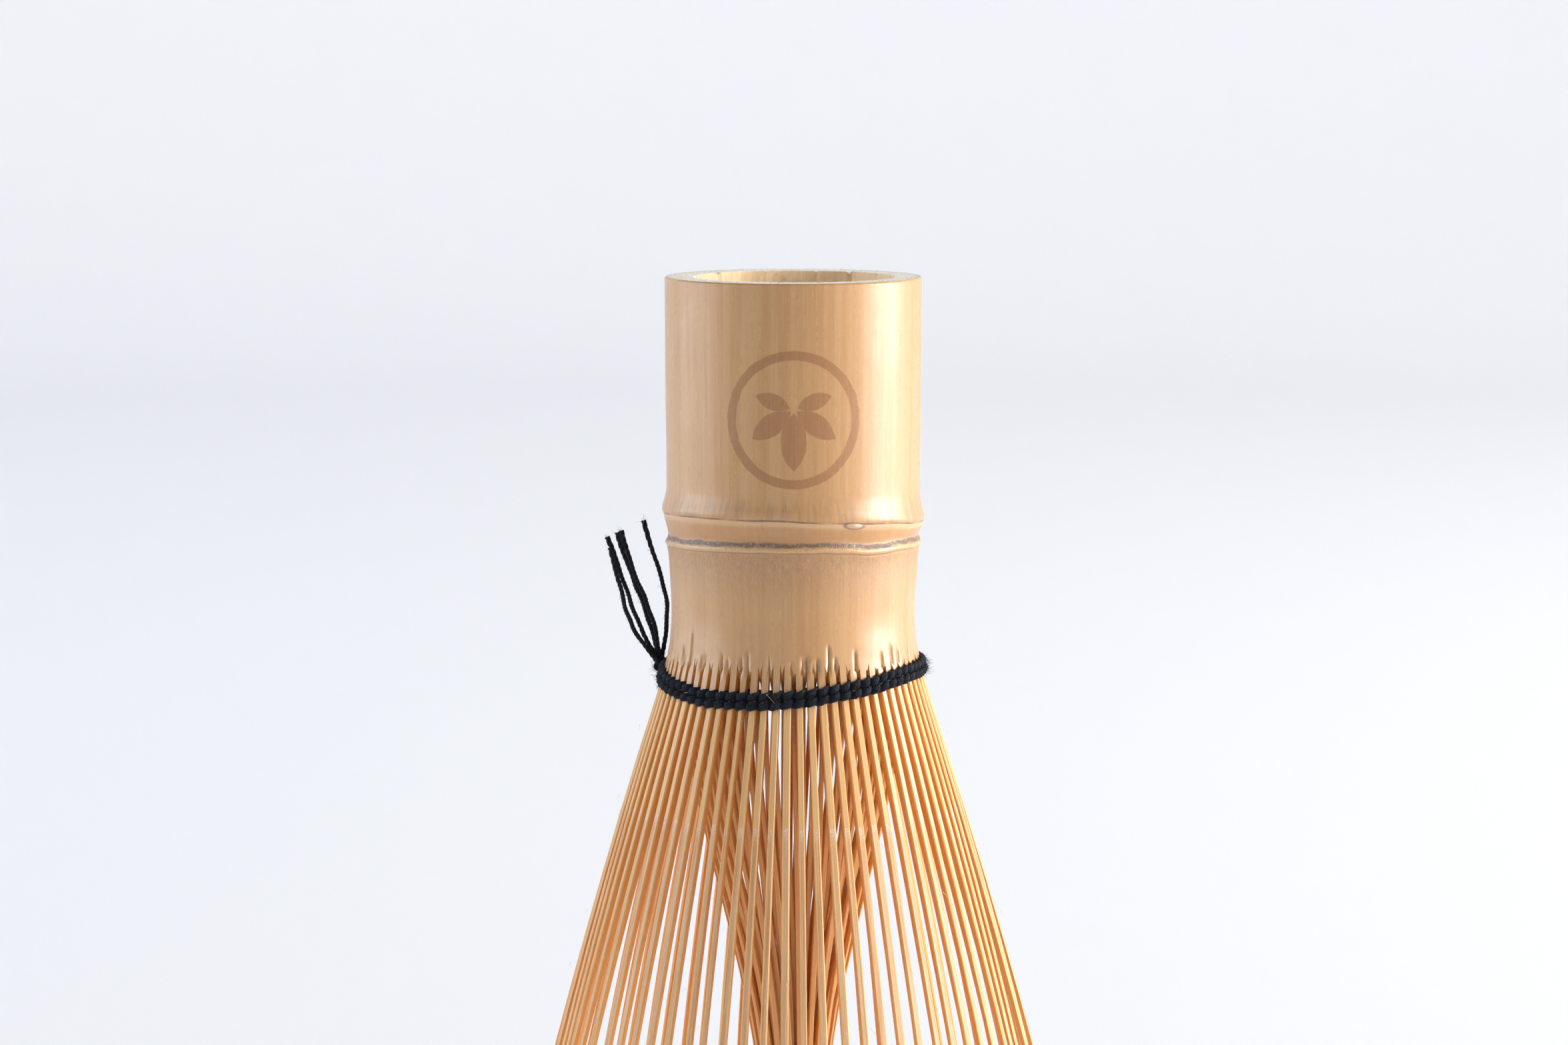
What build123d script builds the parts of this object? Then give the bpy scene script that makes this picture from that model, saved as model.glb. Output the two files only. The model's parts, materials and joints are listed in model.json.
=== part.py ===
from build123d import *
from math import atan, cos, degrees, pi, radians, sin, tan
import os

# Bamboo tea whisk, standing on the tips of its tines with the handle up.
# Millimetres, +Z up. The origin is on the whisk's axis, in the plane of the outer tine tips.
# The handle is a length of culm with one node. Below the node its wall is split into
# strips. Every second strip is bent outwards and thins into an outer tine, and the strips
# between them are pushed inwards and make the inner tines.
# Depths are measured downwards from the sawn rim.

# ---- overall
HEIGHT = 110.0  # outer tine tips to sawn rim

# ---- culm
RIM_R = 13.5  # outside of the sawn end
BORE_R = 10.35  # inside of the culm, above the node
CAVITY_R = 10.0  # inside of the culm, below the node
ABOVE_NODE_R = 13.36
ABOVE_NODE_DEPTH = 22.4
RIDGE_R = 13.85  # swelling above the sheath scar
RIDGE_DEPTH = 24.9
WAIST_R = 13.2  # groove between the swelling and the scar lip
WAIST_DEPTH = 27.0
LIP_R = 13.55  # lip left by the leaf sheath
LIP_DEPTH = 28.1
SHOULDER_R = 13.05
SHOULDER_DEPTH = 31.5
NECK_R = 12.87  # slimmest part of the culm
NECK_DEPTH = 35.5
FLARE_R = 13.1  # where the wall starts to spread into the tines
FLARE_DEPTH = 38.8
RIM_CHAMFER = 0.15

# ---- split end of the culm
SLIT_TOP_DEPTH = 40.0  # where the splits end
SLIT_OPEN_DEPTH = 41.8  # where the splits reach their full width
SLIT_WIDTH = 0.55
STEP_DEPTH = 40.2  # step where the inner strips leave the wall
STEP_R = 12.15
ROOT_DEPTH = 44.6  # lower end of the strips that the thread holds
ROOT_R = 14.55  # outside of the strips there
ROOT_THICK = 0.9

# ---- node wall across the culm
DIAPHRAGM_DEPTH = 25.6
DIAPHRAGM_THICK = 1.5
DIAPHRAGM_DISH = 0.8
DIAPHRAGM_GAP = 0.02

# ---- outer tines
OUTER_COUNT = 72
OUTER_OFFSET = 0.5  # of a pitch: the slits are at 0, and the outer tines between them
OUTER_SECTORS = 12
OUTER_GAP = 0.12  # between a strip's end and its tine
OUTER_SLOPE = 0.325  # outward run for each millimetre down, at the root
OUTER_END_SLOPE = 0.245  # the same, where the curl begins
OUTER_CURL_R = 30.0
OUTER_CURL_END = 26.0  # degrees the tip leans inwards
OUTER_STEPS = 6
CURL_STEPS = 5
OUTER_WIDTHS = (0.68, 0.76, 0.62)  # root, end of the straight, tip
OUTER_THICKS = (0.85, 0.45, 0.26)

# ---- inner tines
INNER_COUNT = 72
INNER_OFFSET = 0.0  # of a pitch: each inner tine is behind a slit
INNER_SECTORS = 6
INNER_LAYERS = 3
INNER_TOP_DEPTH = 40.35
INNER_LENGTH = 65.0
INNER_TOP_R = 11.9  # outside of the ring of inner tines where they leave the wall
INNER_WAIST = 52.0  # length over which they draw in
INNER_END_R = 3.6  # outside of the gathered bundle
LAYER_PITCH = 0.85  # radius between two layers of the gathered bundle
INNER_TWIST = 22.0  # degrees that the bundle turns on its way down
INNER_STEPS = 9
INNER_WIDTHS = (0.46, 0.34)  # root, tip
INNER_THICKS = (0.55, 0.26)

# ---- binding thread
ROW_DEPTHS = {"binding_upper_row": 41.7, "binding_lower_row": 42.68}
ROW_HALF_HEIGHT = 0.46
ROW_HALF_THICK = 0.26
ROW_CLEAR = 0.08  # between the thread and the strips
INNER_ROW_R = 12.4  # the pass behind the outer strips
INNER_ROW_DEPTH = 42.1
INNER_ROW_THREAD_R = 0.24
KNOT_ANGLE = 167.0
KNOT_R = 15.2
KNOT_DEPTH = 41.6
KNOT_HALF = (0.62, 1.1, 0.85)  # outwards, around, upwards
TAIL_THREAD_R = 0.2
ARC_SHARE = 0.45  # part of a run that a bend may use

# Routes of the five loose thread ends, from the knot up and away from the handle.
TAILS = {
    "thread_tail_1": [
        (-14.4, 4.1, 69.4), (-14.0, 4.3, 72.2), (-14.2, 4.3, 75.3), (-15.0, 4.3, 79.0), (-16.2, 4.3, 83.6)
    ],
    "thread_tail_2": [
        (-14.6, 3.6, 69.4), (-14.6, 3.7, 71.8), (-15.9, 3.7, 75.5), (-17.5, 3.7, 79.2), (-18.3, 3.7, 82.6)
    ],
    "thread_tail_3": [
        (-14.9, 4.1, 69.3), (-15.2, 4.3, 72.0), (-16.3, 4.3, 75.3), (-17.7, 4.3, 78.7), (-18.8, 4.3, 82.3)
    ],
    "thread_tail_4": [
        (-15.1, 3.6, 69.3), (-16.3, 3.3, 72.0), (-17.4, 3.1, 75.1), (-18.5, 3.1, 78.5), (-19.8, 3.1, 82.0)
    ],
    "thread_tail_5": [
        (-15.2, 3.1, 69.2), (-16.6, 2.7, 71.2), (-17.8, 2.5, 73.9), (-18.5, 2.5, 77.1), (-19.5, 2.5, 80.9)
    ],
}


def level(depth):
    """Height above the tips of a place this far below the rim."""
    return HEIGHT - depth


def between(low, high, share):
    """The value that lies this share of the way from low to high."""
    return low + (high - low) * share


def tine_angles(count, offset):
    """Angles of equally spaced tines. The first is this share of a pitch past angle zero."""
    pitch = 360 / count
    return [pitch * (i + offset) for i in range(count)]


# ---- culm


def flare_slope():
    """Outward run for each millimetre down where the flare begins, so that it ends at OUTER_SLOPE."""
    return 2 * (ROOT_R - FLARE_R) / (ROOT_DEPTH - FLARE_DEPTH) - OUTER_SLOPE


def culm():
    """Handle with its node, and the split end that the thread holds."""
    inner_root_r = ROOT_R - ROOT_THICK
    with BuildPart() as part:
        with BuildSketch(Plane.XZ):
            with BuildLine():
                Line((BORE_R, level(0)), (RIM_R - RIM_CHAMFER, level(0)))
                Line((RIM_R - RIM_CHAMFER, level(0)), (RIM_R, level(RIM_CHAMFER)))
                Line((RIM_R, level(RIM_CHAMFER)), (ABOVE_NODE_R, level(ABOVE_NODE_DEPTH)))
                Spline(
                    (ABOVE_NODE_R, level(ABOVE_NODE_DEPTH)),
                    (RIDGE_R, level(RIDGE_DEPTH)),
                    (WAIST_R, level(WAIST_DEPTH)),
                    (LIP_R, level(LIP_DEPTH)),
                    (SHOULDER_R, level(SHOULDER_DEPTH)),
                    (NECK_R, level(NECK_DEPTH)),
                    (FLARE_R, level(FLARE_DEPTH)),
                    tangents=[(0, -1), (flare_slope(), -1)],
                )
                Spline(
                    (FLARE_R, level(FLARE_DEPTH)),
                    (ROOT_R, level(ROOT_DEPTH)),
                    tangents=[(flare_slope(), -1), (OUTER_SLOPE, -1)],
                )
                Line((ROOT_R, level(ROOT_DEPTH)), (inner_root_r, level(ROOT_DEPTH)))
                Line((inner_root_r, level(ROOT_DEPTH)), (STEP_R, level(STEP_DEPTH)))
                Line((STEP_R, level(STEP_DEPTH)), (CAVITY_R, level(STEP_DEPTH)))
                Line((CAVITY_R, level(STEP_DEPTH)), (CAVITY_R, level(DIAPHRAGM_DEPTH)))
                Line((CAVITY_R, level(DIAPHRAGM_DEPTH)), (BORE_R, level(DIAPHRAGM_DEPTH)))
                Line((BORE_R, level(DIAPHRAGM_DEPTH)), (BORE_R, level(0)))
            make_face()
        revolve(axis=Axis.Z)
    return part.part - split_slots()


def split_slots():
    """One pointed slot between each pair of outer strips."""
    past_end = level(ROOT_DEPTH + 1)
    outline = [
        (0, level(SLIT_TOP_DEPTH)),
        (SLIT_WIDTH / 2, level(SLIT_OPEN_DEPTH)),
        (SLIT_WIDTH / 2, past_end),
        (-SLIT_WIDTH / 2, past_end),
        (-SLIT_WIDTH / 2, level(SLIT_OPEN_DEPTH)),
    ]
    with BuildPart() as cutter:
        with BuildSketch(Plane.YZ.offset(STEP_R - 0.5)):
            with BuildLine():
                Polyline(*outline, close=True)
            make_face()
        extrude(amount=ROOT_R - STEP_R + 1.5)
    pitch = 360 / OUTER_COUNT
    return [Rot(0, 0, pitch * i) * cutter.part for i in range(OUTER_COUNT)]


def diaphragm():
    """The culm's own wall across the node, slightly dished."""
    r = CAVITY_R - DIAPHRAGM_GAP
    top = level(DIAPHRAGM_DEPTH)
    bottom = top - DIAPHRAGM_THICK
    with BuildPart() as part:
        with BuildSketch(Plane.XZ):
            with BuildLine():
                Line((0, top - DIAPHRAGM_DISH), (0, bottom - DIAPHRAGM_DISH))
                RadiusArc((0, bottom - DIAPHRAGM_DISH), (r, bottom), -dish_radius(r))
                Line((r, bottom), (r, top))
                RadiusArc((r, top), (0, top - DIAPHRAGM_DISH), dish_radius(r))
            make_face()
        revolve(axis=Axis.Z)
    return part.part


def dish_radius(r):
    """Radius of the sphere whose cap is as deep as the dish at radius r."""
    return (r * r + DIAPHRAGM_DISH**2) / (2 * DIAPHRAGM_DISH)


# ---- tines


def strip(sections):
    """A tine through sections of (outer radius, height, angle, width, thickness, lean)."""
    faces = []
    for r, z, angle, width, thick, lean in sections:
        plane = Plane((0, 0, z)) * Rot(0, 0, angle) * Pos(r, 0, 0) * Rot(0, lean, 0)
        faces.append(plane * Pos(-thick / 2, 0, 0) * Rectangle(thick, width))
    return loft(faces, ruled=True)


def outer_path():
    """Stations (radius, depth, lean in degrees) along a tine's outer face."""
    start_r = ROOT_R + OUTER_SLOPE * OUTER_GAP
    start_depth = ROOT_DEPTH + OUTER_GAP
    curl_start = degrees(atan(OUTER_END_SLOPE))
    curl_drop = OUTER_CURL_R * (sin(radians(curl_start)) + sin(radians(OUTER_CURL_END)))
    straight = HEIGHT - start_depth - curl_drop
    path = []
    for i in range(OUTER_STEPS + 1):
        share = i / OUTER_STEPS
        mean_slope = between(OUTER_SLOPE, OUTER_END_SLOPE, share / 2)
        slope = between(OUTER_SLOPE, OUTER_END_SLOPE, share)
        run = straight * share
        path.append((start_r + mean_slope * run, start_depth + run, degrees(atan(slope))))
    centre_r = path[-1][0] - OUTER_CURL_R * cos(radians(curl_start))
    centre_depth = path[-1][1] + OUTER_CURL_R * sin(radians(curl_start))
    for i in range(1, CURL_STEPS + 1):
        lean = between(curl_start, -OUTER_CURL_END, i / CURL_STEPS)
        r = centre_r + OUTER_CURL_R * cos(radians(lean))
        depth = centre_depth - OUTER_CURL_R * sin(radians(lean))
        path.append((r, depth, lean))
    return path


def outer_tine(angle):
    """One outer tine, from the thread to its curled tip."""
    path = outer_path()
    sections = []
    for i, (r, depth, lean) in enumerate(path):
        share = min(i / OUTER_STEPS, 1)
        tip = max(i - OUTER_STEPS, 0) / CURL_STEPS
        width = between(between(OUTER_WIDTHS[0], OUTER_WIDTHS[1], share), OUTER_WIDTHS[2], tip)
        thick = between(between(OUTER_THICKS[0], OUTER_THICKS[1], share), OUTER_THICKS[2], tip)
        sections.append((r, level(depth), angle, width, thick, -lean))
    return strip(sections)


def inner_tine(index, angle):
    """One inner tine. Every third one ends in the same layer of the gathered bundle."""
    end_r = INNER_END_R - LAYER_PITCH * (index % INNER_LAYERS)
    sections = []
    for i in range(INNER_STEPS + 1):
        run = INNER_LENGTH * i / INNER_STEPS
        share = run / INNER_LENGTH
        drawn = (1 - cos(pi * min(run / INNER_WAIST, 1))) / 2
        r = between(INNER_TOP_R, end_r, drawn)
        turn = INNER_TWIST * share**2
        width = between(INNER_WIDTHS[0], INNER_WIDTHS[1], share)
        thick = between(INNER_THICKS[0], INNER_THICKS[1], share)
        sections.append((r, level(INNER_TOP_DEPTH + run), angle + turn, width, thick, 0))
    return strip(sections)


# ---- thread


def thread_ring(ring_r, depth, half_thick, half_height):
    """One turn of thread around the split end."""
    with BuildPart() as part:
        with BuildSketch(Plane.XZ):
            with Locations((ring_r, level(depth))):
                Ellipse(half_thick, half_height)
        revolve(axis=Axis.Z)
    return part.part


def strip_radius(depth):
    """Outer radius of the split end at this depth."""
    share = (depth - FLARE_DEPTH) / (ROOT_DEPTH - FLARE_DEPTH)
    mean_slope = between(flare_slope(), OUTER_SLOPE, share / 2)
    return FLARE_R + mean_slope * (depth - FLARE_DEPTH)


def knot():
    """The knot that ends the thread, pressed against the lower row."""
    ball = scale(Sphere(1), by=KNOT_HALF)
    return Rot(0, 0, KNOT_ANGLE) * Pos(KNOT_R, 0, level(KNOT_DEPTH)) * ball


def tail(name, points):
    """A loose end: straight runs joined by arcs as large as the runs allow."""
    runs = [Vector(b) - Vector(a) for a, b in zip(points, points[1:])]
    radii = []
    for one, two in zip(runs, runs[1:]):
        half_turn = radians(one.get_angle(two)) / 2
        radii.append(ARC_SHARE * min(one.length, two.length) / tan(half_turn))
    path = FilletPolyline(*points, radius=radii)
    section = Plane(origin=path @ 0, z_dir=path % 0) * Circle(TAIL_THREAD_R)
    tube = sweep(section, path=path)
    print(name, "length", round(path.length, 2), "radii", [round(r, 1) for r in radii])
    return tube


# ---- files


def save(name, solids):
    """Writes one node. Several solids stay apart in one compound."""
    solids = [s for shape in solids for s in shape.solids()]
    shape = solids[0] if len(solids) == 1 else Compound(children=solids)
    export_step(shape, f"parts/{name}.step")


def save_sectors(name, angles, sectors, make):
    """Writes tines in groups of neighbours, one node for each group."""
    size = len(angles) // sectors
    for k in range(sectors):
        members = range(k * size, (k + 1) * size)
        save(f"{name}_{k + 1:02d}", [make(i, angles[i]) for i in members])


def main():
    os.makedirs("parts", exist_ok=True)
    save("culm_handle", [culm()])
    save("node_diaphragm", [diaphragm()])
    outer_angles = tine_angles(OUTER_COUNT, OUTER_OFFSET)
    inner_angles = tine_angles(INNER_COUNT, INNER_OFFSET)
    save_sectors("outer_tines", outer_angles, OUTER_SECTORS, lambda i, angle: outer_tine(angle))
    save_sectors("inner_tines", inner_angles, INNER_SECTORS, inner_tine)
    for name, depth in ROW_DEPTHS.items():
        ring_r = strip_radius(depth) + ROW_CLEAR + ROW_HALF_THICK
        save(name, [thread_ring(ring_r, depth, ROW_HALF_THICK, ROW_HALF_HEIGHT)])
    save(
        "binding_inner_pass",
        [thread_ring(INNER_ROW_R, INNER_ROW_DEPTH, INNER_ROW_THREAD_R, INNER_ROW_THREAD_R)],
    )
    save("binding_knot", [knot()])
    for name, points in TAILS.items():
        save(name, [tail(name, points)])


main()
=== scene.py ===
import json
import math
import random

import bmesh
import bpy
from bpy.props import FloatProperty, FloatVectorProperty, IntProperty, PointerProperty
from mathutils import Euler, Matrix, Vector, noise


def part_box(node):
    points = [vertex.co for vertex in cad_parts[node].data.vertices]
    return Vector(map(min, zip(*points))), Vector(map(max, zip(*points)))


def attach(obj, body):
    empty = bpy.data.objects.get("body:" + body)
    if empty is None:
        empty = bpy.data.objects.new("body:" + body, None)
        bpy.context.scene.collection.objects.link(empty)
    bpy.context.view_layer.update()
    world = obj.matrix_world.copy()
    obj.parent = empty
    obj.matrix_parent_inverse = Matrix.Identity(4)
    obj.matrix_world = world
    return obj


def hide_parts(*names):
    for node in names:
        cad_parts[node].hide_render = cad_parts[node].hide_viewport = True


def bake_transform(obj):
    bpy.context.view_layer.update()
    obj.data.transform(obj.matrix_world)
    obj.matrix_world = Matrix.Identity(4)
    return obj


bl_info = {
    "name": "Bamboo Tea Whisk",
    "version": (1, 0, 0),
    "blender": (4, 5, 0),
    "location": "3D View > Sidebar > Tea Whisk",
    "description": "Builds a bamboo tea whisk, split from one culm and bound with thread",
    "category": "Add Mesh",
}

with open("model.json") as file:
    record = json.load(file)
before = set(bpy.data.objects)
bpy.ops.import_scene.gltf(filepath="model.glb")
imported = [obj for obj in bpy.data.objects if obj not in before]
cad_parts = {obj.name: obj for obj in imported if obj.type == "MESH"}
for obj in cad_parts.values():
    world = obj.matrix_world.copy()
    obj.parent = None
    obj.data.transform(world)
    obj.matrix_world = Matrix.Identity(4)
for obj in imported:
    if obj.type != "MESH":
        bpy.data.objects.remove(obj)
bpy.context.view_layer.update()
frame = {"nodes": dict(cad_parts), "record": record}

# Lengths are in metres. A depth is measured downwards from the sawn rim. Angles around the
# whisk are in degrees from +X, and the front is at -90.

MM = 0.001
RIM_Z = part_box("culm_handle")[1].z
MOUNTS = {mount["name"]: mount for mount in frame["record"]["mounts"]}
BORE_R = MOUNTS["handle_bore"]["dims"]["r_mm"] * MM
BORE_LENGTH = MOUNTS["handle_bore"]["dims"]["length_mm"] * MM

# ---- culm
OUTLINE = (  # (depth, outer radius) down the skin, over the node and to where the wall flares
    (0.0 * MM, 13.5 * MM),
    (12.0 * MM, 13.45 * MM),
    (20.0 * MM, 13.37 * MM),
    (22.4 * MM, 13.36 * MM),
    (23.7 * MM, 13.55 * MM),
    (24.9 * MM, 13.84 * MM),
    (25.9 * MM, 13.6 * MM),
    (27.0 * MM, 13.22 * MM),
    (27.5 * MM, 13.27 * MM),
    (27.95 * MM, 13.55 * MM),
    (28.4 * MM, 13.36 * MM),
    (29.4 * MM, 13.19 * MM),
    (31.5 * MM, 13.05 * MM),
    (35.5 * MM, 12.87 * MM),
    (38.8 * MM, 13.1 * MM),
)
FLARE_DEPTH = 38.8 * MM
FLARE_R = 13.1 * MM
FLARE_SLOPE = 0.175
ROOT_DEPTH = 44.6 * MM
OUTER_SLOPE = 0.325  # outward run of a tine for each metre down, at the thread
OUTER_END_SLOPE = 0.245  # the same, where the curl begins
CAVITY_R = 10.0 * MM  # inside of the culm, below the node
CAVITY_END_R = 10.4 * MM  # the same, where the wall parts
COLUMNS = 360
PITCH = 5  # columns, and degrees, from one outer strip to the next
SPLIT_DEPTH = 40.0 * MM  # where the wall begins to part into strips
ROW_SPANS = (  # (from depth, to depth, rows), closer where the node is
    (0.15 * MM, 22.0 * MM, 20),
    (22.0 * MM, 29.6 * MM, 54),
    (29.6 * MM, 36.6 * MM, 10),
    (36.6 * MM, 39.0 * MM, 9),
)
RIM_ROUND = 0.15 * MM
CREASE_DEPTH = 25.33 * MM
SCAR_DEPTH = 27.45 * MM
UNDER_LIP_DEPTH = 28.3 * MM
NODE_R = 13.8 * MM
BUD_ANGLE = -63.0
BUD_DEPTH = CREASE_DEPTH + 0.2 * MM
BUD_HALF_WIDTH = 1.1 * MM
BUD_HALF_HEIGHT = 0.34 * MM
STRIP_THICK = 0.9 * MM
STUB_END = 47.7 * MM  # where the inner strips stop being part of the culm's own piece

MARK_DEPTH = 13.9 * MM
MARK_R = 6.6 * MM
MARK_LEAVES = ((-90, 3.0), (-145, 2.5), (-35, 2.5), (160, 1.9), (20, 1.9))  # (heading, half length in mm)
OPEN_CRACKS = {216: 3.6, 286: 2.9, 321: 2.4, 249: 2.3, 31: 3.3, 109: 2.8, 144: 2.6}  # column: run in mm

# ---- tines
OUTER_COUNT = 72
OUTER_GROUPS = 12
INNER_COUNT = 72
INNER_GROUPS = 6
INNER_LAYERS = 3
INNER_TOP = 40.35 * MM
INNER_LENGTH = 65.0 * MM
INNER_TOP_R = 11.9 * MM
INNER_WAIST = 52.0 * MM  # length over which the inner tines draw in
INNER_END_R = 3.6 * MM
LAYER_PITCH = 0.85 * MM
INNER_TWIST = 22.0
CURL_R = 30.0 * MM
CURL_END = 26.0
SKIN_END = 55.2 * MM  # below this the skin is shaved off the tines
CHAMFER = 0.14

# ---- thread
ROW_PITCH = 0.88 * MM
STRAND_WAVE = 1.55 * MM
STRAND_FLATNESS = 0.5  # how much a strand is pressed against the tines
STRAND_TURNS = 91
STRAND_PLIES = 5
INNER_PASS_R = 12.4 * MM
KNOT_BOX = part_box("binding_knot")
KNOT_HALF_WIDTH = 0.85 * MM
TAIL_ROUTES = {  # from the knot upwards and away from the handle
    "thread_tail_1": (
        (-14.1, 4.0, 68.8), (-13.5, 4.6, 72.0), (-13.5, 4.6, 75.3), (-14.6, 4.4, 79.0), (-16.0, 4.3, 83.6)
    ),
    "thread_tail_2": (
        (-14.3, 3.6, 68.7), (-14.6, 3.7, 71.8), (-15.9, 3.7, 75.5), (-17.5, 3.7, 79.2), (-18.3, 3.7, 82.6)
    ),
    "thread_tail_3": (
        (-14.4, 4.0, 68.9), (-15.2, 4.3, 72.0), (-16.3, 4.3, 75.3), (-17.7, 4.3, 78.7), (-18.8, 4.3, 82.3)
    ),
    "thread_tail_4": (
        (-14.5, 3.5, 68.7), (-16.3, 3.3, 72.0), (-17.4, 3.1, 75.1), (-18.5, 3.1, 78.5), (-19.8, 3.1, 82.0)
    ),
    "thread_tail_5": (
        (-14.6, 3.2, 68.6), (-16.6, 2.7, 71.2), (-17.8, 2.5, 73.9), (-18.5, 2.5, 77.1), (-19.5, 2.5, 80.9)
    ),
}


# ---- settings


def length(name, description, default):
    return FloatProperty(name=name, description=description, default=default, unit="LENGTH", precision=5)


def colour(name, description, default):
    return FloatVectorProperty(name=name, description=description, default=default, subtype="COLOR", size=3)


class CulmSettings(bpy.types.PropertyGroup):
    rim_radius: length("Rim Radius", "Outer radius of the sawn end", 13.5 * MM)
    notch_jitter: length("Notch Unevenness", "How far the tops of the splits differ in height", 0.55 * MM)
    rim_roughness: length("Rim Roughness", "Height of the saw marks and chips on the rim", 0.05 * MM)


class TineSettings(bpy.types.PropertyGroup):
    outer_width: length("Outer Width", "Width of an outer tine below the thread", 0.72 * MM)
    outer_thickness: length("Outer Thickness", "Thickness of an outer tine at its root", 0.82 * MM)
    inner_width: length("Inner Width", "Width of an inner tine", 0.56 * MM)
    unevenness: FloatProperty(
        name="Unevenness", description="How much the hand-split tines differ", default=1.0, min=0, max=2
    )
    splinters: IntProperty(name="Splinters", description="Loose fibres on each group of tines", default=9)


class ThreadSettings(bpy.types.PropertyGroup):
    ply_radius: length("Ply Radius", "Radius of one ply of the binding thread", 0.165 * MM)
    fuzz: IntProperty(name="Fuzz", description="Loose fibres on each row of thread", default=1200, min=0)
    fuzz_length: length("Fuzz Length", "Mean length of a loose fibre", 0.42 * MM)


class ColourSettings(bpy.types.PropertyGroup):
    skin: colour("Skin", "Dry-polished bamboo skin", (0.555, 0.284, 0.092))
    skin_dark: colour("Dark Streaks", "Darker fibres under the skin", (0.48, 0.22, 0.062))
    belt: colour("Node Belt", "Smooth belt between the ridge and the sheath scar", (0.50, 0.235, 0.075))
    scar: colour("Scar", "Grey-brown torn tissue where the leaf sheath grew", (0.12, 0.07, 0.042))
    sawn: colour("Sawn End", "End grain of the rim", (0.80, 0.75, 0.66))
    pith: colour("Inside", "Pale inside of the culm", (0.92, 0.72, 0.46))
    split: colour("Split Face", "Side of a strip where the fibres were split", (0.80, 0.36, 0.09))
    shaved: colour("Shaved Fibres", "Fibres below the end of the skin", (0.76, 0.43, 0.20))
    mark: colour("Burnt Mark", "Plain sprig burnt lightly into the skin", (0.36, 0.14, 0.030))
    thread: colour("Thread", "Blue-black cotton", (0.0035, 0.005, 0.010))
    # Thread Highlights: partly wear, partly a painted highlight along the fibres.
    thread_light: colour("Thread Highlights", "Worn fibres of the thread", (0.050, 0.066, 0.105))


class StageSettings(bpy.types.PropertyGroup):
    backdrop: colour("Backdrop", "Floor and curved wall", (0.845, 0.858, 0.885))
    key: FloatProperty(name="Key Light", description="Softbox on the right", default=24.5, unit="POWER")
    fill: FloatProperty(name="Fill Light", description="Softbox on the left", default=7.8, unit="POWER")
    back: FloatProperty(name="Back Light", description="Softbox over the floor", default=9.2, unit="POWER")


GROUPS = {
    "whisk_culm": CulmSettings,
    "whisk_tines": TineSettings,
    "whisk_thread": ThreadSettings,
    "whisk_colours": ColourSettings,
    "whisk_stage": StageSettings,
}


# ---- shape helpers


def between(low, high, share):
    """The value that lies this share of the way from low to high."""
    return low + (high - low) * share


def ease(value, low, high):
    """0 before low, 1 after high, and a smooth step between."""
    share = min(max((value - low) / (high - low), 0.0), 1.0)
    return share * share * (3 - 2 * share)


def hump(value, centre, width):
    """A smooth bump of height 1."""
    return math.exp(-(((value - centre) / width) ** 2))


def on_curve(keys, x):
    """The value at x of a smooth curve through (x, value) keys."""
    last = len(keys) - 1
    i = next((k for k in range(1, last) if keys[k][0] > x), last)
    (x0, y0), (x1, y1) = keys[i - 1], keys[i]
    before, after = keys[max(i - 2, 0)], keys[min(i + 1, last)]
    gap = x1 - x0
    slope0 = (y1 - before[1]) / (x1 - before[0]) * gap
    slope1 = (after[1] - y0) / (after[0] - x0) * gap
    t = (x - x0) / gap
    start = (2 * t**3 - 3 * t**2 + 1) * y0 + (t**3 - 2 * t**2 + t) * slope0
    end = (3 * t**2 - 2 * t**3) * y1 + (t**3 - t**2) * slope1
    return start + end


def around(radius, angle, z):
    """The point at this radius and angle, in degrees, around the whisk's axis."""
    turn = math.radians(angle)
    return Vector((radius * math.cos(turn), radius * math.sin(turn), z))


def rough(point, size):
    """Smooth noise from -1 to 1 with features of this size."""
    return noise.noise(point / size)


def angle_of(point):
    return math.degrees(math.atan2(point.y, point.x)) % 360


def strip_radius(depth):
    """Outer radius of the culm, and of the strips that its wall parts into."""
    if depth < FLARE_DEPTH:
        return on_curve(OUTLINE, depth)
    share = (depth - FLARE_DEPTH) / (ROOT_DEPTH - FLARE_DEPTH)
    if share > 1:
        root_r = strip_radius(ROOT_DEPTH)
        return root_r + OUTER_SLOPE * (depth - ROOT_DEPTH)
    return FLARE_R + between(FLARE_SLOPE, OUTER_SLOPE, share / 2) * (depth - FLARE_DEPTH)


def band_depth(angle):
    """Depth of the middle of the binding, which the maker's hand left higher on one side."""
    turn = math.radians(angle + 90)
    tilt = 0.25 * math.cos(turn) - 0.5 * math.sin(turn)
    wave = 0.375 * math.cos(2 * turn) - 0.45 * math.sin(2 * turn)
    wander = 0.1 * rough(around(1, angle, 0), 0.35)
    return (41.95 + tilt + wave + wander) * MM


def node_shift(angle, depth):
    """How much lower the node's rings are at this angle than their nominal depth."""
    if not 20 * MM < depth < 33 * MM:
        return 0.0
    turn = math.radians(angle + 90)
    crease = -0.3 - 0.5 * math.cos(turn) + 0.45 * math.sin(turn) - 0.225 * math.cos(2 * turn)
    crease += 0.09 * rough(around(1, angle, 3), 0.3)
    dip = 0.3 * hump((angle + 90) % 360, 38, 13)
    scar = -0.15 - 0.4 * math.cos(turn) - 0.15 * math.cos(2 * turn) + dip
    scar += 0.07 * rough(around(1, angle, 7), 0.16)
    low = ease(depth, 25.7 * MM, 27.3 * MM)
    crease *= ease(depth, 21 * MM, 24.8 * MM) * (1 - low)
    scar *= low * (1 - ease(depth, 28.9 * MM, 32.5 * MM))
    return (crease + scar) * MM


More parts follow.
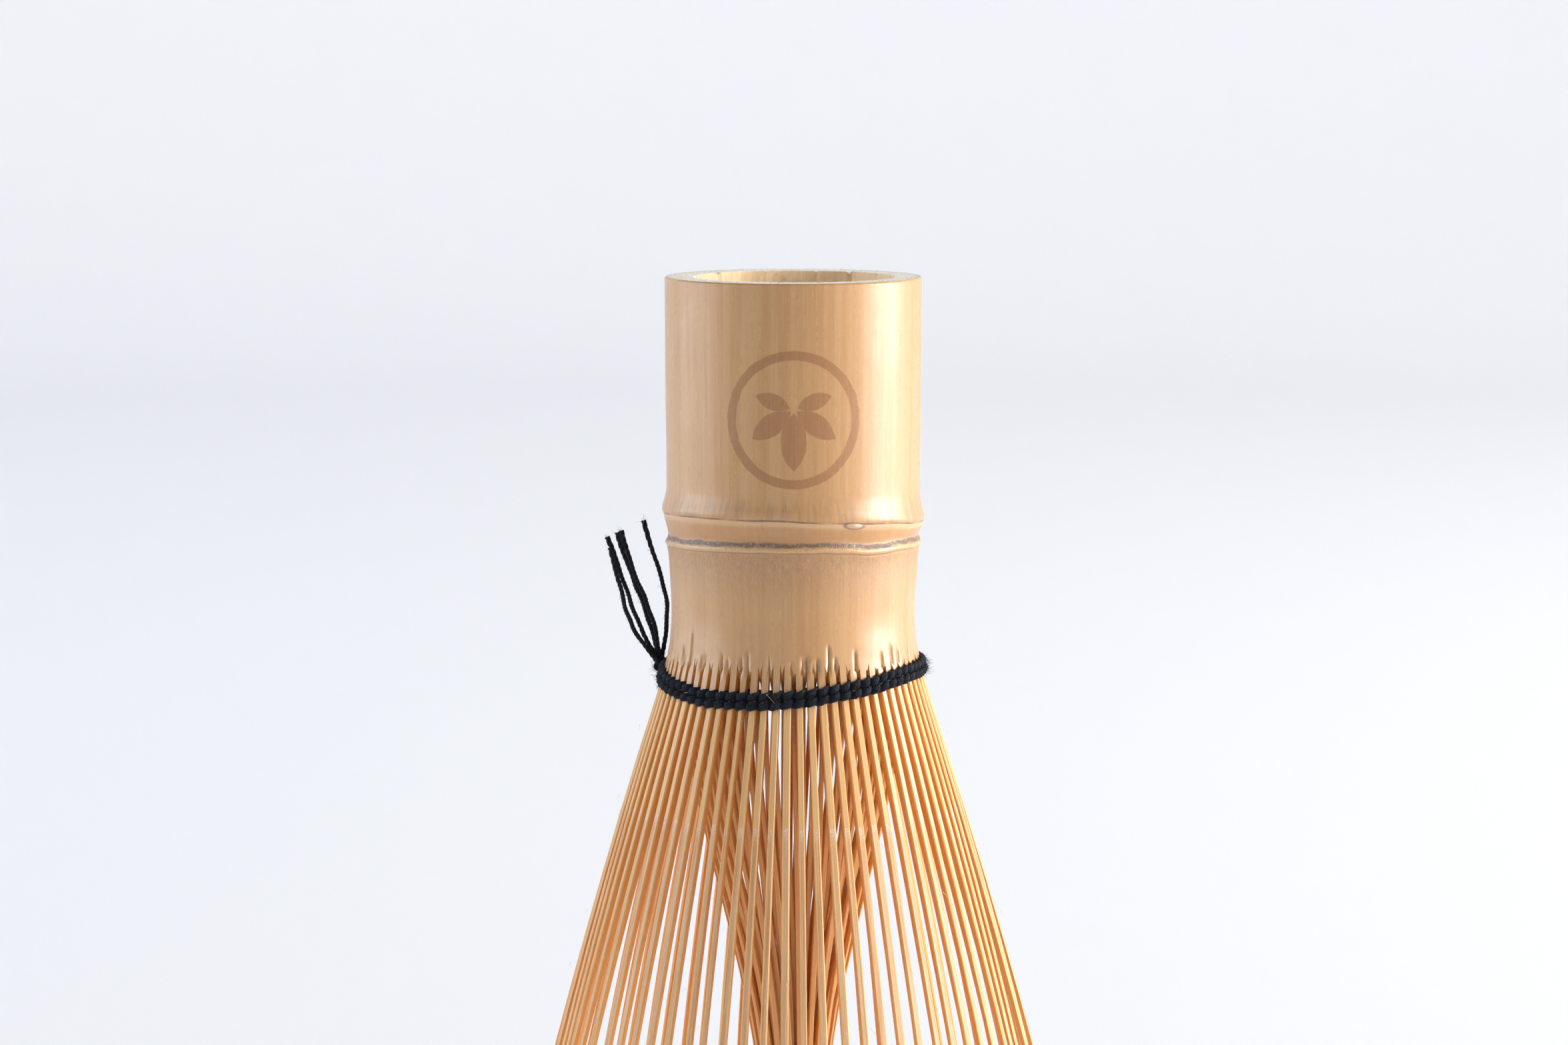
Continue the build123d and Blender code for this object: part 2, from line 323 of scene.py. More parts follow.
class Uneven:
    """What makes each hand-split tine differ from its neighbours."""

    def __init__(self, seed, count):
        draw = random.Random(seed)
        self.turn = [draw.gauss(0, 0.16) for _ in range(count)]
        self.sway = [draw.gauss(0, 0.42) for _ in range(count)]
        self.lean = [draw.gauss(0, 0.22) for _ in range(count)]
        self.width = [1 + draw.gauss(0, 0.07) - 0.3 * (draw.random() < 0.06) for _ in range(count)]
        self.short = [draw.uniform(0, 0.7) * MM for _ in range(count)]
        self.tone = [draw.random() for _ in range(count)]


OUTER_UNEVEN = Uneven(11, OUTER_COUNT)
INNER_UNEVEN = Uneven(23, INNER_COUNT)


# ---- mesh helpers


def new_piece(name, bm, materials, body=None, replaced=()):
    """Makes the object of a finished mesh, puts it on its body and hides the parts that it replaces."""
    mesh = bpy.data.meshes.new(name)
    bm.to_mesh(mesh)
    bm.free()
    return place_piece(name, mesh, materials, body, replaced)


def place_piece(name, mesh, materials, body, replaced):
    for material in materials:
        mesh.materials.append(material)
    piece = bpy.data.objects.new(name, mesh)
    bpy.context.scene.collection.objects.link(piece)
    if body:
        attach(piece, body)
    if replaced:
        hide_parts(*replaced)
    return piece


def shade(bm, sharp_angle):
    """Smooth faces, with the edges sharper than this many degrees kept crisp."""
    limit = math.radians(sharp_angle)
    for face in bm.faces:
        face.smooth = True
    for edge in bm.edges:
        edge.smooth = edge.calc_face_angle(math.pi) < limit


# ---- node helpers


def new_material(name):
    """A material with a Principled BSDF, as (material, node tree, shader)."""
    material = bpy.data.materials.new(name)
    material.use_nodes = True
    return material, material.node_tree, material.node_tree.nodes["Principled BSDF"]


def put(tree, kind, inputs=None, **settings):
    """Adds a node. Its inputs are values or the sockets that feed them."""
    made = tree.nodes.new(kind)
    for key, value in settings.items():
        setattr(made, key, value)
    for key, value in (inputs or {}).items():
        if isinstance(value, bpy.types.NodeSocket):
            tree.links.new(value, made.inputs[key])
        else:
            made.inputs[key].default_value = value
    return made


def calc(tree, operation, first, second=0.0):
    return put(tree, "ShaderNodeMath", {0: first, 1: second}, operation=operation).outputs[0]


def times(tree, first, second):
    return calc(tree, "MULTIPLY", first, second)


def plus(tree, first, second):
    return calc(tree, "ADD", first, second)


def minus(tree, first, second):
    return calc(tree, "SUBTRACT", first, second)


def apart(tree, first, second):
    """How far two values are from each other."""
    return calc(tree, "ABSOLUTE", minus(tree, first, second))


def reach_of(tree, x, y):
    """The length of a flat vector."""
    return calc(tree, "SQRT", plus(tree, times(tree, x, x), times(tree, y, y)))


def split_axes(tree, vector):
    return tuple(put(tree, "ShaderNodeSeparateXYZ", {0: vector}).outputs)


def fade(tree, value, low, high):
    """0 below low and 1 above high, or the other way round where low is above high."""
    inputs = {"Value": value, "From Min": low, "From Max": high}
    return put(tree, "ShaderNodeMapRange", inputs, interpolation_type="SMOOTHSTEP").outputs[0]


def window(tree, depth, start, full, fading, end):
    """1 between two depths in mm, rising over the first stretch and falling over the last."""
    rise = fade(tree, depth, start * MM, full * MM)
    return times(tree, rise, fade(tree, depth, end * MM, fading * MM))


def mixed(tree, share, first, second):
    """Mixes two colours, each a socket or three numbers."""
    inputs = {0: share}
    for key, value in ((6, first), (7, second)):
        inputs[key] = value if isinstance(value, bpy.types.NodeSocket) else (*value, 1.0)
    return put(tree, "ShaderNodeMix", inputs, data_type="RGBA").outputs[2]


def painted(tree, base, tint, mask, strength):
    """The base with a tint over it where the mask is, at this strength."""
    return mixed(tree, times(tree, mask, strength), base, tint)


def scaled(tree, vector, factors):
    return put(tree, "ShaderNodeVectorMath", {0: vector, 1: factors}, operation="MULTIPLY").outputs[0]


def noise_at(tree, vector, scale, detail=3.0, roughness=0.55):
    inputs = {"Vector": vector, "Scale": scale, "Detail": detail, "Roughness": roughness}
    return put(tree, "ShaderNodeTexNoise", inputs).outputs["Fac"]


def bumped(tree, height, distance, strength=1.0, normal=None):
    inputs = {"Height": height, "Distance": distance, "Strength": strength}
    if normal:
        inputs["Normal"] = normal
    return put(tree, "ShaderNodeBump", inputs).outputs[0]


def attribute(tree, name, output="Vector"):
    return put(tree, "ShaderNodeAttribute", attribute_name=name).outputs[output]


def feed(tree, shader, base, roughness, normal):
    """Links what changes over a surface to its shader."""
    for label, socket in (("Base Color", base), ("Roughness", roughness), ("Normal", normal)):
        tree.links.new(socket, shader.inputs[label])


def set_inputs(shader, values):
    for label, value in values.items():
        shader.inputs[label].default_value = value


def let_light_in(shader, weight, radius, scale):
    """Lets light bleed a little way into a thin strip."""
    set_inputs(shader, {"Subsurface Weight": weight, "Subsurface Radius": radius, "Subsurface Scale": scale})


def new_group(name, inputs, outputs):
    """A node group with these sockets, as (group, input node, output node)."""
    group = bpy.data.node_groups.new(name, "ShaderNodeTree")
    for label, kind in inputs:
        group.interface.new_socket(label, in_out="INPUT", socket_type=kind)
    for label, kind in outputs:
        group.interface.new_socket(label, in_out="OUTPUT", socket_type=kind)
    return group, group.nodes.new("NodeGroupInput"), group.nodes.new("NodeGroupOutput")


FLOAT = "NodeSocketFloat"
VECTOR = "NodeSocketVector"


def fibre_group():
    """Bamboo fibres along the third axis of a coordinate: streaks, wide bands, flecks and a height."""
    if "bamboo_fibres" in bpy.data.node_groups:
        return bpy.data.node_groups["bamboo_fibres"]
    group, given, out = new_group(
        "bamboo_fibres",
        (("Coordinate", VECTOR), ("Across", FLOAT), ("Along", FLOAT)),
        (("Streaks", FLOAT), ("Bands", FLOAT), ("Flecks", FLOAT), ("Height", FLOAT)),
    )
    across, along = given.outputs["Across"], given.outputs["Along"]
    factors = put(group, "ShaderNodeCombineXYZ", {0: across, 1: across, 2: along}).outputs[0]
    place = scaled(group, given.outputs["Coordinate"], factors)
    fine = noise_at(group, place, 1.0, 5.0, 0.65)
    bands = noise_at(group, place, 0.22, 2.0, 0.5)
    grains = noise_at(group, scaled(group, place, (1.6, 1.6, 16.0)), 1.0, 1.0, 0.4)
    ridges = noise_at(group, scaled(group, place, (2.6, 2.6, 1.6)), 1.0, 2.0, 0.5)
    height = plus(group, times(group, fine, 0.6), times(group, ridges, 0.4))
    results = {
        "Streaks": fade(group, fine, 0.36, 0.64),
        "Bands": fade(group, bands, 0.38, 0.62),
        "Flecks": fade(group, grains, 0.66, 0.74),
        "Height": height,
    }
    for label, socket in results.items():
        group.links.new(socket, out.inputs[label])
    return group


def speckle_group():
    """Small irregular dots, as a mask, and larger blotches."""
    if "bamboo_speckles" in bpy.data.node_groups:
        return bpy.data.node_groups["bamboo_speckles"]
    group, given, out = new_group(
        "bamboo_speckles",
        (("Coordinate", VECTOR), ("Scale", FLOAT), ("Amount", FLOAT)),
        (("Dots", FLOAT), ("Blotches", FLOAT)),
    )
    place, scale = given.outputs["Coordinate"], given.outputs["Scale"]
    dots = noise_at(group, place, scale, 1.0, 0.5)
    level = minus(group, 0.78, times(group, given.outputs["Amount"], 0.4))
    mask = fade(group, dots, level, plus(group, level, 0.05))
    blotches = noise_at(group, place, times(group, scale, 0.12), 3.0, 0.6)
    group.links.new(mask, out.inputs["Dots"])
    group.links.new(fade(group, blotches, 0.4, 0.65), out.inputs["Blotches"])
    return group


def placed_group(tree, group, **inputs):
    made = put(tree, "ShaderNodeGroup", node_tree=group)
    for label, value in inputs.items():
        if isinstance(value, bpy.types.NodeSocket):
            tree.links.new(value, made.inputs[label])
        else:
            made.inputs[label].default_value = value
    return made.outputs


# ---- materials


def leaf_mask(tree, across, up, centre, heading, size):
    """1 inside a pointed leaf: the space that two equal circles share."""
    turn = math.radians(heading)
    offset = 0.88 * size
    distances = []
    for sign in (-1, 1):
        dx = minus(tree, across, centre[0] - sign * offset * math.sin(turn))
        dy = minus(tree, up, centre[1] + sign * offset * math.cos(turn))
        distances.append(reach_of(tree, dx, dy))
    radius = math.hypot(offset, size)
    furthest = calc(tree, "MAXIMUM", *distances)
    return fade(tree, furthest, radius + 0.05 * MM, radius - 0.08 * MM)


def mark_mask(tree, point):
    """A plain ring with a sprig of bamboo leaves in it, on the front of the handle."""
    x, y, z = split_axes(tree, point)
    turn = calc(tree, "ARCTAN2", x, times(tree, y, -1.0))
    across = times(tree, turn, OUTLINE[0][1])
    wander = times(tree, minus(tree, noise_at(tree, point, 900.0), 0.5), 0.35 * MM)
    across = plus(tree, across, wander)
    up = minus(tree, z, RIM_Z - MARK_DEPTH)
    off_ring = apart(tree, reach_of(tree, across, up), MARK_R)
    mask = fade(tree, off_ring, 0.52 * MM, 0.42 * MM)
    for heading, size in MARK_LEAVES:
        along = math.radians(heading)
        reach = (size + 0.35) * MM
        centre = (reach * math.cos(along), reach * math.sin(along) + 1.1 * MM)
        leaf = leaf_mask(tree, across, up, centre, heading, size * MM)
        mask = calc(tree, "MAXIMUM", mask, leaf)
    return mask


def node_colours(tree, base, depth, grain, colours):
    """Paints the smudges above the ridge, the mottling under the lip, the belt, laid on more heavily lower
    down as painted shade in the concave belt, and a painted highlight along the lip.
    """
    smudge = window(tree, depth, 21.2, 24.2, 25.0, 25.4)
    patches = fade(tree, noise_at(tree, scaled(tree, grain, (1, 1, 0.12)), 1500.0), 0.42, 0.66)
    base = painted(tree, base, (0.30, 0.17, 0.08), times(tree, smudge, patches), 0.5)
    mottle = window(tree, depth, 28.3, 28.5, 28.6, 34.0)
    patches = fade(tree, noise_at(tree, scaled(tree, grain, (1, 1, 0.5)), 3600.0, 5.0, 0.85), 0.36, 0.66)
    base = painted(tree, base, (0.36, 0.19, 0.085), times(tree, mottle, plus(tree, patches, 0.2)), 0.8)
    # The belt's own colour, laid on more heavily towards its bottom: painted shade in the concave belt.
    belt = window(tree, depth, 25.3, 25.5, 27.4, 27.7)
    painted_hollow_shade = plus(tree, fade(tree, depth, 25.6 * MM, 27.3 * MM), 0.5)
    base = painted(tree, base, colours.belt, times(tree, belt, painted_hollow_shade), 0.6)
    # A paler band along the lip: a painted highlight on the ridge of the lip.
    lip = window(tree, depth, 27.65, 27.85, 28.15, 28.35)
    return painted(tree, base, (0.70, 0.43, 0.19), lip, 0.6), mottle


def crease_colours(tree, base, depth, point):
    """Paints the broken dark line of the crease as painted shade, a painted highlight on the skin below it
    and a painted shadow under the lip.
    """
    # The broken dark line along the crease is painted shade in the groove.
    broken = fade(tree, noise_at(tree, point, 260.0), 0.38, 0.56)
    crease = fade(tree, apart(tree, depth, CREASE_DEPTH), 0.14 * MM, 0.02 * MM)
    crease = times(tree, crease, plus(tree, broken, 0.12))
    # A pale band just below the crease: a painted highlight.
    base = painted(tree, base, (0.80, 0.54, 0.30), window(tree, depth, 25.38, 25.5, 25.7, 26.1), 0.45)
    base = mixed(tree, calc(tree, "MINIMUM", crease, 0.9), base, (0.17, 0.085, 0.038))
    # A thin dark line under the lip: a painted shadow.
    under = fade(tree, apart(tree, depth, UNDER_LIP_DEPTH), 0.09 * MM, 0.02 * MM)
    return painted(tree, base, (0.22, 0.115, 0.06), under, 0.75), crease


def scar_colours(tree, base, depth, point, torn, colours):
    """Paints the torn sheath scar and the specks that stray from it on to the lip."""
    wobble = times(tree, minus(tree, noise_at(tree, point, 800.0), 0.5), 0.5 * MM)
    off_scar = apart(tree, plus(tree, depth, wobble), SCAR_DEPTH)
    crumbs = fade(tree, noise_at(tree, point, 2300.0, 4.0, 0.8), 0.36, 0.5)
    zone = times(tree, fade(tree, off_scar, 0.34 * MM, 0.1 * MM), crumbs)
    glints = fade(tree, noise_at(tree, point, 240.0), 0.44, 0.62)
    sparkle = times(tree, fade(tree, torn, 0.54, 0.62), glints)
    base = painted(tree, base, mixed(tree, sparkle, colours.scar, (0.66, 0.60, 0.52)), zone, 0.9)
    on_lip = fade(tree, apart(tree, depth, 27.85 * MM), 0.35 * MM, 0.1 * MM)
    specks = times(tree, on_lip, fade(tree, torn, 0.56, 0.60))
    return painted(tree, base, (0.16, 0.09, 0.05), specks, 0.7), zone


def bud_colours(tree, base, depth, angle):
    """Paints the bud scar: a thin brown outline around a small lens."""
    across = times(tree, minus(tree, angle, math.radians(BUD_ANGLE)), NODE_R / BUD_HALF_WIDTH)
    up = calc(tree, "DIVIDE", minus(tree, depth, BUD_DEPTH), BUD_HALF_HEIGHT)
    reach = reach_of(tree, across, up)
    base = painted(tree, base, (0.62, 0.40, 0.24), fade(tree, reach, 1.0, 0.8), 0.8)
    outline = fade(tree, apart(tree, reach, 1.0), 0.28, 0.1)
    return painted(tree, base, (0.20, 0.10, 0.055), outline, 0.7)


def check_colours(tree, base, depth, point, angle):
    """Paints the fine checks that run up from the tops of the splits."""
    columns = plus(tree, times(tree, angle, 180 / math.pi / PITCH), 100.0)
    off_slit = apart(tree, calc(tree, "FRACT", columns), 0.5)
    near_slit = fade(tree, apart(tree, off_slit, 0.3), 0.05, 0.01)
    length_noise = noise_at(tree, scaled(tree, point, (1, 1, 0)), 700.0)
    reach = plus(tree, depth, times(tree, length_noise, 3.4 * MM))
    check = times(tree, near_slit, fade(tree, reach, 41.3 * MM, 42.2 * MM))
    return painted(tree, base, (0.30, 0.16, 0.06), check, 0.5)


def skin_material(colours):
    """Dry-polished skin of the culm, with its node, scar, stains and a lightly burnt mark."""
    material, tree, shader = new_material("bamboo_skin")
    grain = attribute(tree, "grain")
    point = put(tree, "ShaderNodeTexCoord").outputs["Object"]
    x, y, _ = split_axes(tree, point)
    angle = calc(tree, "ARCTAN2", y, x)
    depth = times(tree, split_axes(tree, grain)[2], -1.0)
    fibres = placed_group(tree, fibre_group(), Coordinate=grain, Across=5200.0, Along=95.0)
    dots = placed_group(tree, speckle_group(), Coordinate=point, Scale=6500.0, Amount=0.22)
    torn = noise_at(tree, point, 6500.0, 3.0, 0.75)

    base = mixed(tree, times(tree, fibres["Streaks"], 0.6), colours.skin, colours.skin_dark)
    base = painted(tree, base, (0.68, 0.405, 0.18), fibres["Bands"], 0.3)
    base = painted(tree, base, (0.80, 0.60, 0.36), fibres["Flecks"], 0.14)
    base, mottle = node_colours(tree, base, depth, grain, colours)
    base, crease = crease_colours(tree, base, depth, point)
    base, scar = scar_colours(tree, base, depth, point, torn, colours)
    base = bud_colours(tree, base, depth, angle)
    base = check_colours(tree, base, depth, point, angle)
    burn = times(tree, mark_mask(tree, point), plus(tree, times(tree, fibres["Streaks"], 0.2), 0.75))
    base = mixed(tree, burn, base, colours.mark)
    base = painted(tree, base, (0.85, 0.70, 0.48), dots["Dots"], 0.2)

    gloss = plus(tree, times(tree, fibres["Streaks"], 0.10), 0.26)
    gloss = plus(tree, gloss, times(tree, dots["Blotches"], 0.08))
    gloss = plus(tree, gloss, times(tree, calc(tree, "MAXIMUM", scar, mottle), 0.25))
    normal = bumped(tree, fibres["Height"], 0.02 * MM, 0.3)
    normal = bumped(tree, times(tree, torn, scar), 0.12 * MM, 0.9, normal)
    normal = bumped(tree, minus(tree, 1.0, crease), 0.05 * MM, 0.6, normal)
    feed(tree, shader, base, gloss, normal)
    set_inputs(shader, {"Specular IOR Level": 0.65})
    set_inputs(shader, {"Coat Weight": 0.8, "Coat Roughness": 0.55, "Coat IOR": 1.55})
    return material


def sawn_material(colours):
    """End grain of the sawn rim: pale, with the dark ends of the fibre bundles."""
    material, tree, shader = new_material("bamboo_sawn")
    point = put(tree, "ShaderNodeTexCoord").outputs["Object"]
    x, y, _ = split_axes(tree, point)
    cells = {"Vector": point, "Scale": 2300.0, "Randomness": 0.9}
    off_bundle = put(tree, "ShaderNodeTexVoronoi", cells).outputs["Distance"]
    outward = fade(tree, reach_of(tree, x, y), 10.6 * MM, 13.5 * MM)
    bundle = fade(tree, off_bundle, plus(tree, 0.27, times(tree, outward, 0.2)), 0.16)
    marks = noise_at(tree, scaled(tree, point, (1, 0.12, 1)), 4200.0, 3.0, 0.6)
    base = painted(tree, colours.sawn, (0.30, 0.19, 0.09), bundle, 0.85)
    base = mixed(tree, fade(tree, marks, 0.5, 0.75), base, (0.90, 0.88, 0.82))
    stain = fade(tree, noise_at(tree, point, 1500.0), 0.42, 0.6)
    edge = times(tree, fade(tree, outward, 0.86, 0.99), stain)
    base = painted(tree, base, (0.20, 0.19, 0.10), edge, 0.65)
    normal = bumped(tree, minus(tree, marks, bundle), 0.05 * MM, 0.8)
    feed(tree, shader, base, plus(tree, times(tree, marks, 0.2), 0.66), normal)
    return material


def pith_material(colours):
    """Pale matt inside of the culm, with fine lengthwise fibres and some brown stain."""
    material, tree, shader = new_material("bamboo_pith")
    point = put(tree, "ShaderNodeTexCoord").outputs["Object"]
    fibres = placed_group(tree, fibre_group(), Coordinate=point, Across=1700.0, Along=110.0)
    dots = placed_group(tree, speckle_group(), Coordinate=point, Scale=2600.0, Amount=0.22)
    base = painted(tree, colours.pith, (0.78, 0.50, 0.25), fibres["Streaks"], 0.5)
    base = painted(tree, base, (0.80, 0.66, 0.45), fibres["Flecks"], 0.5)
    base = painted(tree, base, (0.42, 0.25, 0.12), dots["Blotches"], 0.3)
    base = painted(tree, base, (0.28, 0.16, 0.08), dots["Dots"], 0.4)
    roughness = plus(tree, times(tree, fibres["Height"], 0.2), 0.62)
    feed(tree, shader, base, roughness, bumped(tree, fibres["Height"], 0.05 * MM, 0.8))
    return material


def diaphragm_material(colours):
    """Papery wall across the node: rings and radial creases in brown-stained pith, with painted shade towards
    its edge.
    """
    material, tree, shader = new_material("bamboo_diaphragm")
    point = put(tree, "ShaderNodeTexCoord").outputs["Object"]
    x, y, _ = split_axes(tree, point)
    out = reach_of(tree, x, y)
    wander = times(tree, noise_at(tree, point, 500.0), 1.6 * MM)
    rings = calc(tree, "SINE", times(tree, plus(tree, out, wander), 5200.0))
    dots = placed_group(tree, speckle_group(), Coordinate=point, Scale=3000.0, Amount=0.4)
    base = mixed(tree, fade(tree, rings, -1.0, 1.0), (0.50, 0.33, 0.17), (0.60, 0.43, 0.24))
    base = painted(tree, base, (0.72, 0.58, 0.38), dots["Blotches"], 0.55)
    # Darker from 8.2 mm out to the edge at 10 mm: painted shade where the wall meets the inside of the culm.
    base = mixed(tree, fade(tree, out, 8.2 * MM, 10.0 * MM), base, (0.30, 0.17, 0.08))
    base = painted(tree, base, colours.scar, dots["Dots"], 0.5)
    height = plus(tree, rings, times(tree, noise_at(tree, point, 1400.0, 4.0), 2.5))
    roughness = plus(tree, times(tree, dots["Blotches"], 0.1), 0.72)
    feed(tree, shader, base, roughness, bumped(tree, height, 0.06 * MM, 0.7))
    return material


def split_material(colours):
    """Saturated split face of a strip, paler and more golden next to the skin."""
    material, tree, shader = new_material("bamboo_split")
    grain = attribute(tree, "grain")
    tone = attribute(tree, "tone", "Fac")
    fibres = placed_group(tree, fibre_group(), Coordinate=grain, Across=5200.0, Along=160.0)
    base = painted(tree, colours.split, (0.62, 0.24, 0.05), fibres["Streaks"], 0.5)
    base = painted(tree, base, (0.88, 0.52, 0.18), tone, 0.3)
    base = painted(tree, base, (0.78, 0.52, 0.26), fibres["Flecks"], 0.35)
    skin_side = split_axes(tree, attribute(tree, "section"))[0]
    base = painted(tree, base, (0.80, 0.52, 0.20), fade(tree, skin_side, -0.2, -0.02), 0.6)
    roughness = plus(tree, times(tree, fibres["Height"], 0.15), 0.32)
    feed(tree, shader, base, roughness, bumped(tree, fibres["Height"], 0.04 * MM, 0.7))
    let_light_in(shader, 0.25, (1.0, 0.4, 0.12), 0.5 * MM)
    return material


def tine_skin_material(colours):
    """Front of an outer tine: polished skin down to a scuffed line, shaved fibres below it, and a painted
    golden highlight along both edges.
    """
    material, tree, shader = new_material("bamboo_tine_skin")
    grain = attribute(tree, "grain")
    tone = attribute(tree, "tone", "Fac")
    depth = times(tree, split_axes(tree, grain)[2], -1.0)
    fibres = placed_group(tree, fibre_group(), Coordinate=grain, Across=2400.0, Along=75.0)
    shaved = placed_group(tree, fibre_group(), Coordinate=grain, Across=7600.0, Along=130.0)
    ragged = plus(tree, times(tree, noise_at(tree, grain, 2600.0), 0.7), times(tree, tone, 0.5))
    line = minus(tree, depth, times(tree, ragged, 0.6 * MM))
    below = fade(tree, line, SKIN_END - 0.35 * MM, SKIN_END - 0.25 * MM)

    skin = painted(tree, (0.78, 0.46, 0.19), (0.60, 0.31, 0.105), fibres["Streaks"], 0.6)
    skin = painted(tree, skin, (0.86, 0.56, 0.27), tone, 0.4)
    fibre = painted(tree, colours.shaved, (0.50, 0.22, 0.07), shaved["Streaks"], 0.75)
    fibre = painted(tree, fibre, (0.84, 0.60, 0.40), shaved["Bands"], 0.4)
    fibre = painted(tree, fibre, (0.80, 0.66, 0.50), shaved["Flecks"], 0.5)
    base = mixed(tree, below, skin, fibre)
    scuff = times(tree, below, fade(tree, line, SKIN_END + 1.3 * MM, SKIN_END - 0.2 * MM))
    scuff = times(tree, scuff, fade(tree, noise_at(tree, grain, 5200.0, 3.0, 0.7), 0.38, 0.62))
    base = painted(tree, base, (0.82, 0.70, 0.58), scuff, 0.75)
    # Golden lines along both edges of the face: a painted highlight.
    side = calc(tree, "ABSOLUTE", split_axes(tree, attribute(tree, "section"))[1])
    edge = times(tree, fade(tree, side, 0.26, 0.37), plus(tree, times(tree, below, 0.5), 0.2))
    base = mixed(tree, edge, base, (0.92, 0.60, 0.22))

    roughness = plus(tree, times(tree, below, 0.12), 0.3)
    roughness = plus(tree, roughness, times(tree, shaved["Height"], 0.1))
    relief = times(tree, shaved["Height"], plus(tree, below, 0.15))
    normal = bumped(tree, relief, 0.05 * MM, 0.8)
    normal = bumped(tree, minus(tree, 1.0, below), 0.04 * MM, 0.8, normal)
    feed(tree, shader, base, roughness, normal)
    let_light_in(shader, 0.15, (1.0, 0.45, 0.15), 0.4 * MM)
    return material


def inner_tine_material():
    """Outer face of an inner tine: pinkish fibres, matt, with brown lengthwise streaks."""
    material, tree, shader = new_material("bamboo_inner_tine")
    grain = attribute(tree, "grain")
    tone = attribute(tree, "tone", "Fac")
    fibres = placed_group(tree, fibre_group(), Coordinate=grain, Across=6200.0, Along=110.0)
    base = painted(tree, (0.76, 0.37, 0.14), (0.56, 0.23, 0.065), fibres["Streaks"], 0.6)
    base = painted(tree, base, (0.84, 0.47, 0.20), tone, 0.5)
    base = painted(tree, base, (0.74, 0.54, 0.34), fibres["Flecks"], 0.4)
    roughness = plus(tree, times(tree, fibres["Height"], 0.2), 0.48)
    feed(tree, shader, base, roughness, bumped(tree, fibres["Height"], 0.04 * MM, 0.8))
    let_light_in(shader, 0.2, (1.0, 0.4, 0.12), 0.5 * MM)
    return material


def thread_material(colours, name, turns):
    """Blue-black cotton: fine fibres that wind round each ply, lighter on top: partly wear and partly a
    painted highlight.
    """
    material, tree, shader = new_material(name)
    along, across, _ = split_axes(tree, put(tree, "ShaderNodeUVMap", uv_map="UVMap").outputs[0])
    point = put(tree, "ShaderNodeTexCoord").outputs["Object"]
    wind = plus(tree, times(tree, along, turns), times(tree, across, 7.0))
    stray = times(tree, noise_at(tree, point, 5200.0, 3.0), 1.3)
    fibre = calc(tree, "SINE", times(tree, plus(tree, wind, stray), math.tau))
    fibre = fade(tree, fibre, -0.8, 1.0)
    # Patches where the fibre crests are lighter and the thread rougher: partly wear, partly painted
    # highlight.
    wear_and_highlight = fade(tree, noise_at(tree, point, 1500.0, 4.0, 0.7), 0.48, 0.72)
    share = plus(tree, times(tree, wear_and_highlight, 0.45), 0.18)
    # Lighter colour along the fibre crests: a painted highlight, partly wear.
    base = mixed(tree, times(tree, fibre, share), colours.thread, colours.thread_light)
    lint = fade(tree, noise_at(tree, point, 9000.0, 2.0), 0.68, 0.74)
    base = painted(tree, base, (0.16, 0.17, 0.20), lint, 0.3)
    height = plus(tree, fibre, times(tree, noise_at(tree, point, 12000.0), 0.8))
    roughness = plus(tree, times(tree, wear_and_highlight, 0.12), 0.72)
    feed(tree, shader, base, roughness, bumped(tree, height, 0.03 * MM, 0.9))
    set_inputs(shader, {"Specular IOR Level": 0.3, "Sheen Weight": 0.03, "Sheen Roughness": 0.4})
    set_inputs(shader, {"Sheen Tint": (0.55, 0.65, 0.9, 1.0)})
    return material


MATERIALS = {}


def material_named(name, make, *values):
    """The material of this name, made the first time it is asked for."""
    if name not in MATERIALS:
        MATERIALS[name] = make(*values)
    return MATERIALS[name]


# ---- culm


def culm_profile(culm):
    """Points (radius, depth) down the skin, across the wall, up the bore and over the rim."""
    scale = culm.rim_radius / OUTLINE[0][1]
    points = [(culm.rim_radius - RIM_ROUND, 0.0)]
    for start, end, rows in ROW_SPANS:
        points += [(strip_radius(d) * scale, d) for d in (between(start, end, i / rows) for i in range(rows))]
    points.append((strip_radius(ROW_SPANS[-1][1]), ROW_SPANS[-1][1]))
    points.append((strip_radius(SPLIT_DEPTH), SPLIT_DEPTH))
    points.append((CAVITY_END_R, SPLIT_DEPTH))
    points += [(CAVITY_R, FLARE_DEPTH), (CAVITY_R, BORE_LENGTH + 1.8 * MM), (CAVITY_R, BORE_LENGTH)]
    points += [(BORE_R, BORE_LENGTH - 0.4 * MM)]
    points += [(BORE_R, between(BORE_LENGTH, 0, i / 8)) for i in range(1, 8)]
    points += [(BORE_R, 0.3 * MM), (BORE_R + 0.1 * MM, 0.05 * MM)]
    rings = 5
    inside, outside = BORE_R + 0.3 * MM, culm.rim_radius - 0.45 * MM
    points += [(between(inside, outside, i / rings), 0.0) for i in range(rings + 1)]
    return points


def tip_depths(culm):
    """Depth of the top of each split, by column."""
    draw = random.Random(5)
    depths = {}
    for column in range(COLUMNS):
        if column % PITCH in (1, PITCH - 1):
            depth = SPLIT_DEPTH - 0.6 * MM + draw.gauss(0, 0.7) * culm.notch_jitter
            depths[column] = min(max(depth, ROW_SPANS[-1][1] + 0.08 * MM), SPLIT_DEPTH)
    return depths


def crack_tops():
    """Depth from which a few splits have run on up the wall as open cracks, by column."""
    draw = random.Random(9)
    tops = {}
    for column in range(COLUMNS):
        if column % PITCH in (1, PITCH - 1) and draw.random() < 0.3:
            tops[column] = SPLIT_DEPTH - draw.uniform(1.2, 2.2) * MM
    for column, run in OPEN_CRACKS.items():
        tops[column] = SPLIT_DEPTH - run * MM
    return tops


